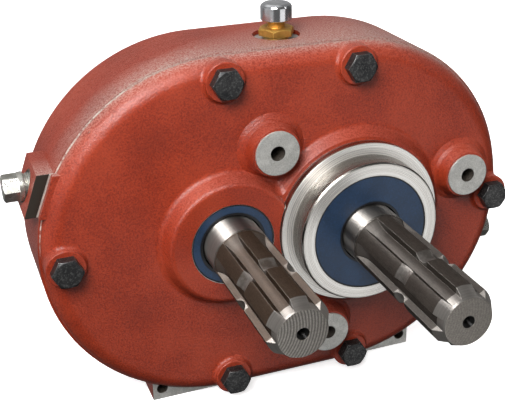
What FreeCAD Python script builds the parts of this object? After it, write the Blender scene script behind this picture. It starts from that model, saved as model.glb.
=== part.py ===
import FreeCAD, Part
import math
import os
import Sketcher

# Agricultural gearbox: two parallel splined shafts in a cast casing with a bolted cover.
# Millimetres. The origin is in the middle of the base face, +Z is up and the shafts point along -Y.
# Inside a body, Y is zero on the joint face of the casing and Z is zero on the shaft axes.

doc = FreeCAD.newDocument("gearbox")
sheet = doc.addObject("Spreadsheet::Sheet", "sizes")
nodes = []


class Size:
    """A number together with the formula that ties it to the sheet."""

    def __init__(self, number, text):
        self.number = float(number)
        self.text = text

    def __add__(self, other):
        other = as_size(other)
        return Size(self.number + other.number, "(" + self.text + " + " + other.text + ")")

    def __sub__(self, other):
        other = as_size(other)
        return Size(self.number - other.number, "(" + self.text + " - " + other.text + ")")

    def __mul__(self, other):
        other = as_size(other)
        return Size(self.number * other.number, "(" + self.text + " * " + other.text + ")")

    def __truediv__(self, other):
        other = as_size(other)
        return Size(self.number / other.number, "(" + self.text + " / " + other.text + ")")

    def __neg__(self):
        return Size(-self.number, "(0 - " + self.text + ")")


def as_size(value):
    """A plain number becomes a Size whose formula is the number itself."""
    if isinstance(value, Size):
        return value
    return Size(value, "(" + repr(float(value)) + ")")


def root(value):
    """Square root of a Size."""
    return Size(math.sqrt(value.number), "sqrt(" + value.text + ")")


def size(alias, number):
    """Put one driving dimension in the sheet and return it."""
    row = str(size.row)
    size.row += 1
    sheet.set("A" + row, alias)
    sheet.set("B" + row, str(number))
    sheet.setAlias("B" + row, alias)
    return Size(number, "sizes." + alias)


size.row = 1

# Layout
shaft_gap = size("shaft_gap", 80.0)
axis_height = size("axis_height", 109.5)
outline_radius = size("outline_radius", 108.5)
outline_gap = size("outline_gap", 78.0)
outline_shift = size("outline_shift", -1.0)
seat_fit = size("seat_fit", 0.02)
running_fit = size("running_fit", 0.05)

# Casing
casing_depth = size("casing_depth", 62.0)
casing_wall = size("casing_wall", 11.5)
back_wall = size("back_wall", 10.0)
back_rounding = size("back_rounding", 8.0)
base_width = size("base_width", 178.0)
base_rise = size("base_rise", 40.0)
base_hole_spacing = size("base_hole_spacing", 166.0)
base_hole_height = size("base_hole_height", 7.5)
base_hole_radius = size("base_hole_radius", 3.4)
base_hole_depth = size("base_hole_depth", 16.0)
rear_boss_radius = size("rear_boss_radius", 37.0)
rear_boss_proud = size("rear_boss_proud", 4.0)
rear_boss_inside = size("rear_boss_inside", 17.0)
rear_boss_rounding = size("rear_boss_rounding", 2.0)

# Joint, bolts and dowels
gasket_thickness = size("gasket_thickness", 0.6)
gasket_inset = size("gasket_inset", 0.2)
bolt_inset = size("bolt_inset", 13.0)
bolt_radius = size("bolt_radius", 5.0)
bolt_flats = size("bolt_flats", 16.0)
bolt_head = size("bolt_head", 6.5)
bolt_length = size("bolt_length", 35.0)
bolt_hole_gap = size("bolt_hole_gap", 0.5)
bolt_hole_spare = size("bolt_hole_spare", 4.0)
bolt_seat = size("bolt_seat", 13.8)
bolt_boss_radius = size("bolt_boss_radius", 11.5)
bolt_boss_foot = size("bolt_boss_foot", 2.5)
bolt_boss_edge = size("bolt_boss_edge", 0.8)
inner_boss_radius = size("inner_boss_radius", 10.5)
dowel_radius = size("dowel_radius", 3.0)
dowel_length = size("dowel_length", 10.0)

# Cover
cover_inset = size("cover_inset", 1.3)
cover_back = size("cover_back", 1.6)
cover_rounding = size("cover_rounding", 11.0)
face_height = size("face_height", 10.2)
boss_sink = size("boss_sink", 2.0)
wall_overlap = size("wall_overlap", 1.0)
inner_recess = size("inner_recess", 3.0)
plateau_height = size("plateau_height", 20.0)
plateau_radius = size("plateau_radius", 37.0)
plateau_rounding = size("plateau_rounding", 3.0)
plateau_flare = size("plateau_flare", 5.5)
foot_rounding = size("foot_rounding", 4.0)
mount_height = size("mount_height", 22.0)
disc_radius = size("disc_radius", 51.0)
disc_thickness = size("disc_thickness", 5.5)
skirt_step = size("skirt_step", 2.0)
skirt_flare = size("skirt_flare", 6.5)
spigot_radius = size("spigot_radius", 44.0)
spigot_length = size("spigot_length", 14.0)
spigot_chamfer = size("spigot_chamfer", 1.0)
mount_circle = size("mount_circle", 75.0)
mount_start = size("mount_start", 15.0)
mount_count = size("mount_count", 3)
mount_boss_radius = size("mount_boss_radius", 13.2)
mount_boss_flare = size("mount_boss_flare", 1.8)
mount_boss_foot = size("mount_boss_foot", 6.1)
mount_foot_rise = size("mount_foot_rise", 3.8)
mount_boss_step = size("mount_boss_step", 1.2)
mount_hole_radius = size("mount_hole_radius", 4.25)
mount_hole_depth = size("mount_hole_depth", 15.0)

# Shafts
journal_radius = size("journal_radius", 17.5)
spline_major = size("spline_major", 17.4)
spline_minor = size("spline_minor", 14.0)
spline_tooth = size("spline_tooth", 8.7)
spline_count = size("spline_count", 6)
spline_runout = size("spline_runout", 13.0)
neck_groove_depth = size("neck_groove_depth", 0.5)
neck_groove_width = size("neck_groove_width", 0.9)
tooth_overlap = size("tooth_overlap", 0.6)
end_radius = size("end_radius", 13.4)
end_chamfer = size("end_chamfer", 7.0)
lock_groove_root = size("lock_groove_root", 14.9)
lock_groove_curve = size("lock_groove_curve", 7.5)
centre_hole_radius = size("centre_hole_radius", 2.2)
centre_hole_mouth = size("centre_hole_mouth", 3.5)
centre_hole_depth = size("centre_hole_depth", 9.0)
main_reach = size("main_reach", 120.0)
main_journal = size("main_journal", 28.7)
main_lock = size("main_lock", 41.0)
pinion_reach = size("pinion_reach", 99.5)
pinion_journal = size("pinion_journal", 16.5)
pinion_lock = size("pinion_lock", 44.0)
collar_rise = size("collar_rise", 4.0)
rear_journal_radius = size("rear_journal_radius", 15.0)
journal_chamfer = size("journal_chamfer", 1.0)

# Gears
wheel_teeth = size("wheel_teeth", 43)
pinion_teeth = size("pinion_teeth", 21)
wheel_width = size("wheel_width", 22.0)
pinion_extra = size("pinion_extra", 2.0)
gear_start = size("gear_start", 10.0)
pressure_angle = size("pressure_angle", 20.0)
backlash = size("backlash", 0.2)
web_recess = size("web_recess", 4.0)
hub_wall = size("hub_wall", 11.0)
rim_wall = size("rim_wall", 7.0)
key_width = size("key_width", 10.0)
key_height = size("key_height", 8.0)
key_sink = size("key_sink", 5.0)
key_gap = size("key_gap", 0.3)

# Bearings
front_bearing_radius = size("front_bearing_radius", 36.0)
front_bearing_width = size("front_bearing_width", 17.0)
front_ball_radius = size("front_ball_radius", 5.4)
rear_bearing_radius = size("rear_bearing_radius", 31.0)
rear_bearing_width = size("rear_bearing_width", 16.0)
rear_ball_radius = size("rear_ball_radius", 4.6)
ball_count = size("ball_count", 9)
ball_gap = size("ball_gap", 0.3)
race_depth = size("race_depth", 2.4)
cage_thickness = size("cage_thickness", 2.4)
cage_ring = size("cage_ring", 1.4)
finger_width = size("finger_width", 3.2)
bearing_shoulder = size("bearing_shoulder", 4.5)
main_bearing_stop = size("main_bearing_stop", 5.5)
main_lip = size("main_lip", 3.5)
pinion_bearing_front = size("pinion_bearing_front", 10.5)
end_gap = size("end_gap", 0.5)
spacer_wall = size("spacer_wall", 5.0)
circlip_thickness = size("circlip_thickness", 2.4)
circlip_sink = size("circlip_sink", 1.5)
circlip_width = size("circlip_width", 4.5)
shaft_clip_thickness = size("shaft_clip_thickness", 1.5)
shaft_clip_sink = size("shaft_clip_sink", 1.0)
shaft_clip_width = size("shaft_clip_width", 3.5)
clip_gap = size("clip_gap", 0.1)

# Oil seals
small_seal_radius = size("small_seal_radius", 25.0)
small_seal_width = size("small_seal_width", 8.0)
large_seal_width = size("large_seal_width", 10.0)
seal_inset = size("seal_inset", 0.4)
seal_wall = size("seal_wall", 2.2)
lip_wall = size("lip_wall", 2.6)
lip_relief = size("lip_relief", 0.9)
spring_radius = size("spring_radius", 0.8)

# Plugs and breather
left_plug_rise = size("left_plug_rise", 40.3)
left_plug_depth = size("left_plug_depth", 18.0)
left_pad_front = size("left_pad_front", 0.0)
left_pad_stand = size("left_pad_stand", 8.2)
left_seat_depth = size("left_seat_depth", 12.2)
right_plug_rise = size("right_plug_rise", -44.3)
right_plug_depth = size("right_plug_depth", 25.0)
right_pad_front = size("right_pad_front", 10.0)
right_pad_stand = size("right_pad_stand", 5.0)
right_seat_depth = size("right_seat_depth", 8.0)
plug_pad_half = size("plug_pad_half", 12.2)
pad_root = size("pad_root", 6.0)
lug_stand = size("lug_stand", 1.2)
lug_thickness = size("lug_thickness", 4.0)
plug_spot_radius = size("plug_spot_radius", 9.0)
plug_thread_radius = size("plug_thread_radius", 6.8)
plug_thread_out = size("plug_thread_out", 5.5)
plug_thread_in = size("plug_thread_in", 12.0)
plug_collar_radius = size("plug_collar_radius", 8.4)
plug_collar = size("plug_collar", 2.6)
plug_flats = size("plug_flats", 14.0)
plug_hex = size("plug_hex", 9.0)
breather_side = size("breather_side", 4.5)
breather_from_joint = size("breather_from_joint", 24.0)
breather_spot_radius = size("breather_spot_radius", 14.0)
breather_spot_depth = size("breather_spot_depth", 2.7)
breather_thread_radius = size("breather_thread_radius", 7.0)
breather_thread = size("breather_thread", 8.5)
breather_foot = size("breather_foot", 2.7)
breather_flats = size("breather_flats", 19.0)
breather_hex = size("breather_hex", 4.4)
breather_neck_radius = size("breather_neck_radius", 5.0)
breather_neck = size("breather_neck", 4.1)
cap_radius = size("cap_radius", 9.2)
cap_height = size("cap_height", 10.6)
cap_dome = size("cap_dome", 2.6)
cap_wall = size("cap_wall", 1.2)

doc.recompute()

# Places that several pieces share
half_gap = shaft_gap / 2
left_arc = outline_shift - outline_gap / 2
right_arc = outline_shift + outline_gap / 2
joint_y = -(casing_depth / 2)
gear_module = shaft_gap.number * 2 / (wheel_teeth.number + pinion_teeth.number)
rear_bearing_start = gear_start + wheel_width + bearing_shoulder
shaft_back = rear_bearing_start + rear_bearing_width
main_bearing_end = -main_bearing_stop
main_bearing_start = main_bearing_end - front_bearing_width
pinion_bearing_start = -pinion_bearing_front
pinion_bearing_end = pinion_bearing_start + front_bearing_width
pinion_start = gear_start - pinion_extra / 2
pinion_width = wheel_width + pinion_extra
spigot_front = -(mount_height + spigot_length)
collar_radius = journal_radius + collar_rise
bolt_circle = outline_radius - bolt_inset
spot_places = [
    (-(half_gap + bolt_circle), as_size(0)),
    (-half_gap, bolt_circle),
    (half_gap, bolt_circle),
    (half_gap + bolt_circle, as_size(0)),
    (half_gap, -bolt_circle),
    (-half_gap, -bolt_circle),
]
left_reach = outline_radius + left_pad_stand
right_reach = outline_radius + right_pad_stand
left_seat = left_reach - left_seat_depth
right_seat = right_reach - right_seat_depth
plug_places = {
    "left": (-1, left_arc, left_plug_rise, left_plug_depth, left_pad_front, left_reach, left_seat),
    "right": (1, right_arc, right_plug_rise, right_plug_depth, right_pad_front, right_reach, right_seat),
}
dowel_line = outline_radius - casing_wall / 2
dowel_places = [
    (left_arc - dowel_line * 0.70711, dowel_line * 0.70711),
    (right_arc + dowel_line * 0.70711, -(dowel_line * 0.70711)),
]


def bind(thing, path, value):
    """Tie one property of an object to its formula."""
    thing.setExpression(path, as_size(value).text)


def new_body(label, x, y, z, turn=None, listed=True):
    """Body at a place in the shared frame, with an optional turn of its own axes."""
    body = doc.addObject("PartDesign::Body", label)
    body.Label = label
    if turn is not None:
        body.Placement = FreeCAD.Placement(FreeCAD.Vector(), turn)
    bind(body, "Placement.Base.x", x)
    bind(body, "Placement.Base.y", y)
    bind(body, "Placement.Base.z", z)
    if listed:
        nodes.append(body)
    return body


def new_sketch(body, name, plane, x=0, y=0, z=0):
    """Sketch on one of the body's own planes, moved along the sketch's own axes."""
    sketch = body.newObject("Sketcher::SketchObject", name)
    support = [one for one in body.Origin.OriginFeatures if one.Role == plane][0]
    sketch.AttachmentSupport = (support, [""])
    sketch.MapMode = "FlatFace"
    bind(sketch, "AttachmentOffset.Base.x", x)
    bind(sketch, "AttachmentOffset.Base.y", y)
    bind(sketch, "AttachmentOffset.Base.z", z)
    return sketch


def measure(sketch, kind, geometry, point, value):
    """Signed distance of a sketch point from the origin, along X or Y."""
    value = as_size(value)
    if abs(value.number) < 1e-9:
        axis = -2 if kind == "DistanceX" else -1
        sketch.addConstraint(Sketcher.Constraint("PointOnObject", geometry, point, axis))
        return
    if value.number > 0:
        rule = Sketcher.Constraint(kind, -1, 1, geometry, point, value.number)
        text = value.text
    else:
        rule = Sketcher.Constraint(kind, geometry, point, -1, 1, -value.number)
        text = "(0 - " + value.text + ")"
    index = sketch.addConstraint(rule)
    sketch.setExpression("Constraints[" + str(index) + "]", text)


def add_polygon(sketch, corners):
    """Closed polygon, each corner tied to its two formulas."""
    corners = [(as_size(a), as_size(b)) for a, b in corners]
    points = [FreeCAD.Vector(a.number, b.number, 0) for a, b in corners]
    first = sketch.GeometryCount
    count = len(points)
    for i in range(count):
        sketch.addGeometry(Part.LineSegment(points[i], points[(i + 1) % count]), False)
    for i in range(count):
        follower = first + (i + 1) % count
        sketch.addConstraint(Sketcher.Constraint("Coincident", first + i, 2, follower, 1))
    for i in range(count):
        measure(sketch, "DistanceX", first + i, 1, corners[i][0])
        measure(sketch, "DistanceY", first + i, 1, corners[i][1])
    return sketch


def add_circle(sketch, x, y, radius):
    """Circle with its centre and radius tied to formulas."""
    x = as_size(x)
    y = as_size(y)
    centre = FreeCAD.Vector(x.number, y.number, 0)
    shape = Part.Circle(centre, FreeCAD.Vector(0, 0, 1), radius.number)
    index = sketch.addGeometry(shape, False)
    measure(sketch, "DistanceX", index, 3, x)
    measure(sketch, "DistanceY", index, 3, y)
    rule = sketch.addConstraint(Sketcher.Constraint("Radius", index, radius.number))
    sketch.setExpression("Constraints[" + str(rule) + "]", radius.text)
    return sketch


def add_stadium(sketch, radius):
    """Two half circles joined by two straight lines, the outline of casing and cover."""
    a = left_arc.number
    b = right_arc.number
    big = radius.number
    up = FreeCAD.Vector(0, 0, 1)
    right_circle = Part.Circle(FreeCAD.Vector(b, 0, 0), up, big)
    left_circle = Part.Circle(FreeCAD.Vector(a, 0, 0), up, big)
    right = sketch.addGeometry(Part.ArcOfCircle(right_circle, -math.pi / 2, math.pi / 2), False)
    top = sketch.addGeometry(Part.LineSegment(FreeCAD.Vector(b, big, 0), FreeCAD.Vector(a, big, 0)), False)
    left = sketch.addGeometry(Part.ArcOfCircle(left_circle, math.pi / 2, 3 * math.pi / 2), False)
    low = sketch.addGeometry(Part.LineSegment(FreeCAD.Vector(a, -big, 0), FreeCAD.Vector(b, -big, 0)), False)
    sketch.addConstraint(Sketcher.Constraint("Tangent", right, 2, top, 1))
    sketch.addConstraint(Sketcher.Constraint("Tangent", top, 2, left, 1))
    sketch.addConstraint(Sketcher.Constraint("Tangent", left, 2, low, 1))
    sketch.addConstraint(Sketcher.Constraint("Tangent", low, 2, right, 1))
    measure(sketch, "DistanceX", right, 3, right_arc)
    measure(sketch, "DistanceY", right, 3, 0)
    measure(sketch, "DistanceX", left, 3, left_arc)
    measure(sketch, "DistanceY", left, 3, 0)
    rule = sketch.addConstraint(Sketcher.Constraint("Radius", right, big))
    sketch.setExpression("Constraints[" + str(rule) + "]", radius.text)
    return sketch


def extrude(body, kind, name, sketch, length, backwards=False):
    """Pad or Pocket of a sketch over a length."""
    made = body.newObject("PartDesign::" + kind, name)
    made.Profile = sketch
    bind(made, "Length", length)
    made.Reversed = backwards
    sketch.Visibility = False
    return made


def spin(body, kind, name, sketch, angle=360.0):
    """Revolution or Groove of a sketch round its own vertical axis."""
    made = body.newObject("PartDesign::" + kind, name)
    made.Profile = sketch
    made.ReferenceAxis = (sketch, ["V_Axis"])
    made.Angle = angle
    sketch.Visibility = False
    return made


def polar(body, name, originals, axis, count):
    """Copies of features round an axis, over a full turn."""
    made = body.newObject("PartDesign::PolarPattern", name)
    made.Originals = originals
    made.Axis = axis
    made.Angle = 360
    bind(made, "Occurrences", count)
    body.Tip = made
    return made


def dress(body, kind, name, base, test, amount):
    """Fillet or Chamfer of the edges of a feature that pass a test."""
    doc.recompute()
    picked = []
    for i, edge in enumerate(base.Shape.Edges):
        if test(edge):
            picked.append("Edge" + str(i + 1))
    if not picked:
        raise RuntimeError("no edge found for " + name)
    made = body.newObject("PartDesign::" + kind, name)
    made.Base = (base, picked)
    bind(made, "Radius" if kind == "Fillet" else "Size", amount)
    return made


def on_level(edge, level):
    """True where the whole edge lies at one Y."""
    return all(abs(edge.valueAt(t).y - level) < 1e-4 for t in (edge.FirstParameter, edge.LastParameter)) and (
        abs(edge.CenterOfMass.y - level) < 1e-4)


def from_point(edge, x, z):
    """Distance of the middle of an edge from a line along Y."""
    point = edge.valueAt((edge.FirstParameter + edge.LastParameter) / 2)
    return math.hypot(point.x - x, point.z - z)


def near_bolt(edge):
    """True for an edge on the wall of a bolt boss."""
    reach = bolt_boss_radius.number
    return any(abs(from_point(edge, x.number, z.number) - reach) < 0.01 for x, z in spot_places)


def turned(label, profile, x, y=joint_y, z=axis_height, turn=None, angle=360.0, listed=True):
    """Body of revolution about its own Y axis from corners given as radius and length."""
    body = new_body(label, x, y, z, turn, listed)
    sketch = new_sketch(body, label + "_profile", "XY_Plane")
    add_polygon(sketch, profile)
    body.Tip = spin(body, "Revolution", label + "_turned", sketch, angle)
    return body


def hexagon(flats):
    """Corners of a hexagon from its width across flats."""
    reach = flats / math.sqrt(3)
    corners = []
    for i in range(6):
        angle = math.radians(60 * i)
        corners.append((reach * math.cos(angle), reach * math.sin(angle)))
    return corners


def hex_head(body, name, flats, start, height, bevel=0.9):
    """Hexagon along +Y from a start, with the outer corners bevelled at thirty degrees."""
    sketch = new_sketch(body, name + "_flats", "XZ_Plane", z=-start)
    add_polygon(sketch, hexagon(flats))
    extrude(body, "Pad", name + "_hex", sketch, height, True)
    cut = new_sketch(body, name + "_bevel", "XY_Plane")
    inner = flats * 0.47
    outer = flats * 0.62
    top = start + height
    add_polygon(cut, [(inner, top), (outer, top), (outer, top - (outer - inner) * 0.57735)])
    body.Tip = spin(body, "Groove", name + "_bevelled", cut)


def involute(angle):
    """Involute of an angle in radians."""
    return math.tan(angle) - angle


def tooth_gap(teeth, middle):
    """Corners of one gap between involute teeth, with its middle at an angle in degrees."""
    count = int(teeth.number)
    pitch = gear_module * count / 2
    pressure = math.radians(pressure_angle.number)
    base = pitch * math.cos(pressure)
    tip = pitch + gear_module
    bottom = pitch - 1.25 * gear_module
    levels = [bottom, max(base, bottom + 0.4 * gear_module), pitch + 0.1 * gear_module, tip + 0.15 * gear_module]
    flank = []
    for radius in levels:
        opening = math.acos(min(1.0, base / radius))
        half = math.pi / (2 * count) + backlash.number / (4 * pitch) - involute(pressure) + involute(opening)
        flank.append((radius, half))
    corners = []
    turn = math.radians(middle)
    for radius, half in flank:
        corners.append((radius * math.cos(turn + half), radius * math.sin(turn + half)))
    for radius, half in reversed(flank):
        corners.append((radius * math.cos(turn - half), radius * math.sin(turn - half)))
    return corners


def cut_teeth(body, name, teeth, middle, start, width):
    """Tooth gaps of a gear, cut one and repeated round the axis."""
    sketch = new_sketch(body, name + "_gap", "XZ_Plane", z=-start)
    add_polygon(sketch, tooth_gap(teeth, middle))
    gap = extrude(body, "Pocket", name + "_cut", sketch, width)
    polar(body, name + "_teeth", [gap], (sketch, ["N_Axis"]), teeth)


def add_splines(body, name, start, end, lock):
    """Six straight teeth with bevelled ends and an arc-shaped locking groove."""
    sketch = new_sketch(body, name + "_tooth", "XZ_Plane", z=-(start + tooth_overlap))
    half = spline_tooth / 2
    low = spline_minor * 0.8
    reach = math.sqrt(spline_major.number ** 2 - half.number ** 2)
    corner = math.acos(half.number / spline_major.number)
    bottom = [FreeCAD.Vector(-half.number, low.number, 0), FreeCAD.Vector(half.number, low.number, 0)]
    top = [FreeCAD.Vector(half.number, reach, 0), FreeCAD.Vector(-half.number, reach, 0)]
    sketch.addGeometry(Part.LineSegment(bottom[0], bottom[1]), False)
    sketch.addGeometry(Part.LineSegment(bottom[1], top[0]), False)
    crown = Part.Circle(FreeCAD.Vector(), FreeCAD.Vector(0, 0, 1), spline_major.number)
    sketch.addGeometry(Part.ArcOfCircle(crown, corner, math.pi - corner), False)
    sketch.addGeometry(Part.LineSegment(top[1], bottom[0]), False)
    sketch.addConstraint(Sketcher.Constraint("Coincident", 0, 2, 1, 1))
    sketch.addConstraint(Sketcher.Constraint("Coincident", 1, 2, 2, 1))
    sketch.addConstraint(Sketcher.Constraint("Coincident", 2, 2, 3, 1))
    sketch.addConstraint(Sketcher.Constraint("Coincident", 3, 2, 0, 1))
    sketch.addConstraint(Sketcher.Constraint("Coincident", 2, 3, -1, 1))
    measure(sketch, "DistanceX", 0, 1, -half)
    measure(sketch, "DistanceY", 0, 1, low)
    measure(sketch, "DistanceX", 0, 2, half)
    measure(sketch, "DistanceY", 0, 2, low)
    measure(sketch, "DistanceX", 1, 2, half)
    measure(sketch, "DistanceX", 3, 1, -half)
    rule = sketch.addConstraint(Sketcher.Constraint("Radius", 2, spline_major.number))
    sketch.setExpression("Constraints[" + str(rule) + "]", spline_major.text)
    tooth = extrude(body, "Pad", name + "_tooth_pad", sketch, start + tooth_overlap - end)
    polar(body, name + "_splines", [tooth], (sketch, ["N_Axis"]), spline_count)
    bevel = new_sketch(body, name + "_end_bevel", "XY_Plane")
    slope = end_chamfer / (spline_major - end_radius)
    over = as_size(2)
    bevel_back = end + end_chamfer + over * slope
    add_polygon(bevel, [(end_radius, end), (spline_major + over, end), (spline_major + over, bevel_back)])
    spin(body, "Groove", name + "_end_cut", bevel)
    ring = new_sketch(body, name + "_lock_ring", "XY_Plane")
    add_circle(ring, lock_groove_root + lock_groove_curve, end + lock, lock_groove_curve)
    body.Tip = spin(body, "Groove", name + "_lock_groove", ring)


def pad_outline(side, centre, rise, reach):
    """Corners of a plug pad, from a chord inside the wall to a chord of the given reach."""
    low = rise - plug_pad_half
    high = rise + plug_pad_half
    inner = outline_radius - pad_root
    corners = []
    for radius, level in ((inner, high), (reach, high), (reach, low), (inner, low)):
        corners.append((centre + root(radius * radius - level * level) * side, level))
    return corners


def shaft_front(end, start):
    """Corners of the front half of a shaft, from the centre hole to the groove before the journal."""
    cone = (centre_hole_mouth - centre_hole_radius) * 1.732
    depth = spline_major - spline_minor
    neck = start + tooth_overlap
    rise = [(spline_minor + depth * (t * t), start - spline_runout * (1 - t)) for t in (0.0, 0.3, 0.6, 0.8)]
    return [
        (0, end + centre_hole_depth),
        (centre_hole_radius, end + centre_hole_depth - centre_hole_radius * 0.577),
        (centre_hole_radius, end + cone),
        (centre_hole_mouth, end),
        (end_radius, end),
        (spline_minor, end + (spline_minor - end_radius) * end_chamfer / (spline_major - end_radius)),
    ] + rise + [
        (spline_major, start),
        (spline_major, neck),
        (spline_major - neck_groove_depth, neck),
        (spline_major - neck_groove_depth, neck + neck_groove_width),
        (journal_radius, neck + neck_groove_width),
    ]


# Rear casing
casing = new_body("rear_casing", 0, joint_y, axis_height)
sketch = add_stadium(new_sketch(casing, "casing_outline", "XZ_Plane"), outline_radius)
casing_block = extrude(casing, "Pad", "casing_block", sketch, casing_depth, True)
dress(casing, "Fillet", "casing_back_rounding", casing_block,
      lambda edge: on_level(edge, casing_depth.number), back_rounding)
sketch = new_sketch(casing, "base_outline", "XZ_Plane")
base_low = -axis_height
base_high = base_low + base_rise
half_base = base_width / 2
add_polygon(sketch, [(-half_base, base_low), (half_base, base_low), (half_base, base_high), (-half_base, base_high)])
extrude(casing, "Pad", "casing_base", sketch, casing_depth, True)
for name, (side, centre, rise, depth, front, reach, seat) in plug_places.items():
    sketch = new_sketch(casing, name + "_pad_outline", "XZ_Plane", z=-front)
    add_polygon(sketch, pad_outline(side, centre, rise, reach))
    extrude(casing, "Pad", name + "_plug_pad", sketch, (depth - front) * 2, True)
sketch = new_sketch(casing, "rear_boss_outline", "XZ_Plane", z=-casing_depth)
add_circle(sketch, -half_gap, 0, rear_boss_radius)
add_circle(sketch, half_gap, 0, rear_boss_radius)
rear_bosses = extrude(casing, "Pad", "rear_bosses", sketch, rear_boss_proud, True)
rear_level = casing_depth + rear_boss_proud
dress(casing, "Fillet", "rear_boss_edges", rear_bosses,
      lambda edge: on_level(edge, rear_level.number), rear_boss_rounding)
cavity_radius = outline_radius - casing_wall
cavity_depth = casing_depth - back_wall
sketch = add_stadium(new_sketch(casing, "cavity_outline", "XZ_Plane"), cavity_radius)
extrude(casing, "Pocket", "cavity", sketch, cavity_depth)
sketch = new_sketch(casing, "inner_boss_outline", "XZ_Plane", z=-(cavity_depth + wall_overlap))
for x, z in spot_places:
    add_circle(sketch, x, z, inner_boss_radius)
extrude(casing, "Pad", "inner_bosses", sketch, cavity_depth + wall_overlap)
sketch = new_sketch(casing, "bearing_boss_outline", "XZ_Plane", z=-(cavity_depth + wall_overlap))
add_circle(sketch, -half_gap, 0, rear_boss_radius)
add_circle(sketch, half_gap, 0, rear_boss_radius)
extrude(casing, "Pad", "bearing_bosses", sketch, rear_boss_inside + wall_overlap)
sketch = new_sketch(casing, "bearing_seat_outline", "XZ_Plane", z=-cavity_depth + rear_boss_inside)
add_circle(sketch, -half_gap, 0, rear_bearing_radius + seat_fit)
add_circle(sketch, half_gap, 0, rear_bearing_radius + seat_fit)
seat_floor = shaft_back
extrude(casing, "Pocket", "bearing_seats", sketch, seat_floor - cavity_depth + rear_boss_inside)
sketch = new_sketch(casing, "shaft_room_outline", "XZ_Plane", z=-seat_floor)
add_circle(sketch, -half_gap, 0, rear_journal_radius + bearing_shoulder)
add_circle(sketch, half_gap, 0, rear_journal_radius + bearing_shoulder)
extrude(casing, "Pocket", "shaft_room", sketch, end_gap * 4)
sketch = new_sketch(casing, "thread_outline", "XZ_Plane")
for x, z in spot_places:
    add_circle(sketch, x, z, bolt_radius + seat_fit)
extrude(casing, "Pocket", "bolt_threads", sketch, bolt_length - bolt_seat + bolt_hole_spare)
sketch = new_sketch(casing, "casing_dowel_outline", "XZ_Plane")
for x, z in dowel_places:
    add_circle(sketch, x, z, dowel_radius + seat_fit)
extrude(casing, "Pocket", "casing_dowel_holes", sketch, dowel_length / 2)
sketch = new_sketch(casing, "base_hole_outline", "XZ_Plane")
for side in (-1, 1):
    add_circle(sketch, base_hole_spacing * side / 2, base_low + base_hole_height, base_hole_radius)
extrude(casing, "Pocket", "base_holes", sketch, base_hole_depth)
for name, (side, centre, rise, depth, front, reach, seat) in plug_places.items():
    sketch = new_sketch(casing, name + "_spot_outline", "YZ_Plane", z=centre + seat * side)
    add_circle(sketch, depth, rise, plug_spot_radius)
    extrude(casing, "Pocket", name + "_plug_spot", sketch, reach - seat, side > 0)
    sketch = new_sketch(casing, name + "_plug_outline", "YZ_Plane", z=centre + seat * side)
    add_circle(sketch, depth, rise, plug_thread_radius + seat_fit)
    extrude(casing, "Pocket", name + "_plug_hole", sketch, casing_wall * 2, side < 0)
sketch = new_sketch(casing, "breather_spot_outline", "XY_Plane", z=outline_radius - breather_spot_depth)
add_circle(sketch, breather_side, breather_from_joint, breather_spot_radius)
extrude(casing, "Pocket", "breather_spot", sketch, breather_spot_depth * 2, True)
sketch = new_sketch(casing, "breather_hole_outline", "XY_Plane", z=outline_radius)
add_circle(sketch, breather_side, breather_from_joint, breather_thread_radius + seat_fit)
casing.Tip = extrude(casing, "Pocket", "breather_hole", sketch, casing_wall * 1.5)

# Front cover
cover = new_body("front_cover", 0, joint_y, axis_height)
cover_radius = outline_radius - cover_inset
sketch = add_stadium(new_sketch(cover, "cover_outline", "XZ_Plane", z=-cover_back), cover_radius)
cover_plate = extrude(cover, "Pad", "cover_plate", sketch, cover_back + face_height)
dress(cover, "Fillet", "cover_edge", cover_plate,
      lambda edge: on_level(edge, -face_height.number), cover_rounding)
sketch = add_stadium(new_sketch(cover, "joint_cut_outline", "XZ_Plane", z=gasket_thickness), outline_radius)
extrude(cover, "Pocket", "joint_cut", sketch, cover_back + gasket_thickness)
sketch = new_sketch(cover, "lug_outline", "XZ_Plane", z=gasket_thickness)
lug_reach = outline_radius + lug_stand
add_polygon(sketch, pad_outline(-1, left_arc, left_plug_rise, lug_reach))
extrude(cover, "Pad", "left_lug", sketch, lug_thickness)
sketch = new_sketch(cover, "bolt_boss_outline", "XZ_Plane", z=gasket_thickness)
for x, z in spot_places:
    add_circle(sketch, x, z, bolt_boss_radius)
bolt_bosses = extrude(cover, "Pad", "bolt_bosses", sketch, bolt_seat - gasket_thickness)
boss_feet = dress(cover, "Fillet", "bolt_boss_feet", bolt_bosses,
                  lambda edge: on_level(edge, -face_height.number) and near_bolt(edge), bolt_boss_foot)
dress(cover, "Fillet", "bolt_boss_edges", boss_feet, lambda edge: on_level(edge, -bolt_seat.number), bolt_boss_edge)
sketch = add_stadium(new_sketch(cover, "recess_outline", "XZ_Plane", z=gasket_thickness), cavity_radius)
extrude(cover, "Pocket", "inside_recess", sketch, inner_recess, True)
sketch = new_sketch(cover, "pinion_boss_profile", "XY_Plane", x=-half_gap)
inner_end = pinion_bearing_end
pinion_boss_wall = front_bearing_radius + bearing_shoulder
add_polygon(sketch, [
    (0, inner_end),
    (pinion_boss_wall, inner_end),
    (pinion_boss_wall, -(face_height - boss_sink)),
    (plateau_radius + plateau_flare, -(face_height - boss_sink)),
    (plateau_radius, -plateau_height),
    (0, -plateau_height),
])
pinion_boss = spin(cover, "Revolution", "pinion_boss", sketch)
plateau_reach = plateau_radius + plateau_flare + foot_rounding
skirt_reach = disc_radius + skirt_step + skirt_flare + foot_rounding
plateau_edge = dress(cover, "Fillet", "plateau_edge", pinion_boss,
                     lambda edge: on_level(edge, -plateau_height.number), plateau_rounding)
dress(cover, "Fillet", "plateau_foot", plateau_edge,
      lambda edge: on_level(edge, -face_height.number) and from_point(edge, -half_gap.number, 0) < plateau_reach.number,
      foot_rounding)
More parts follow.
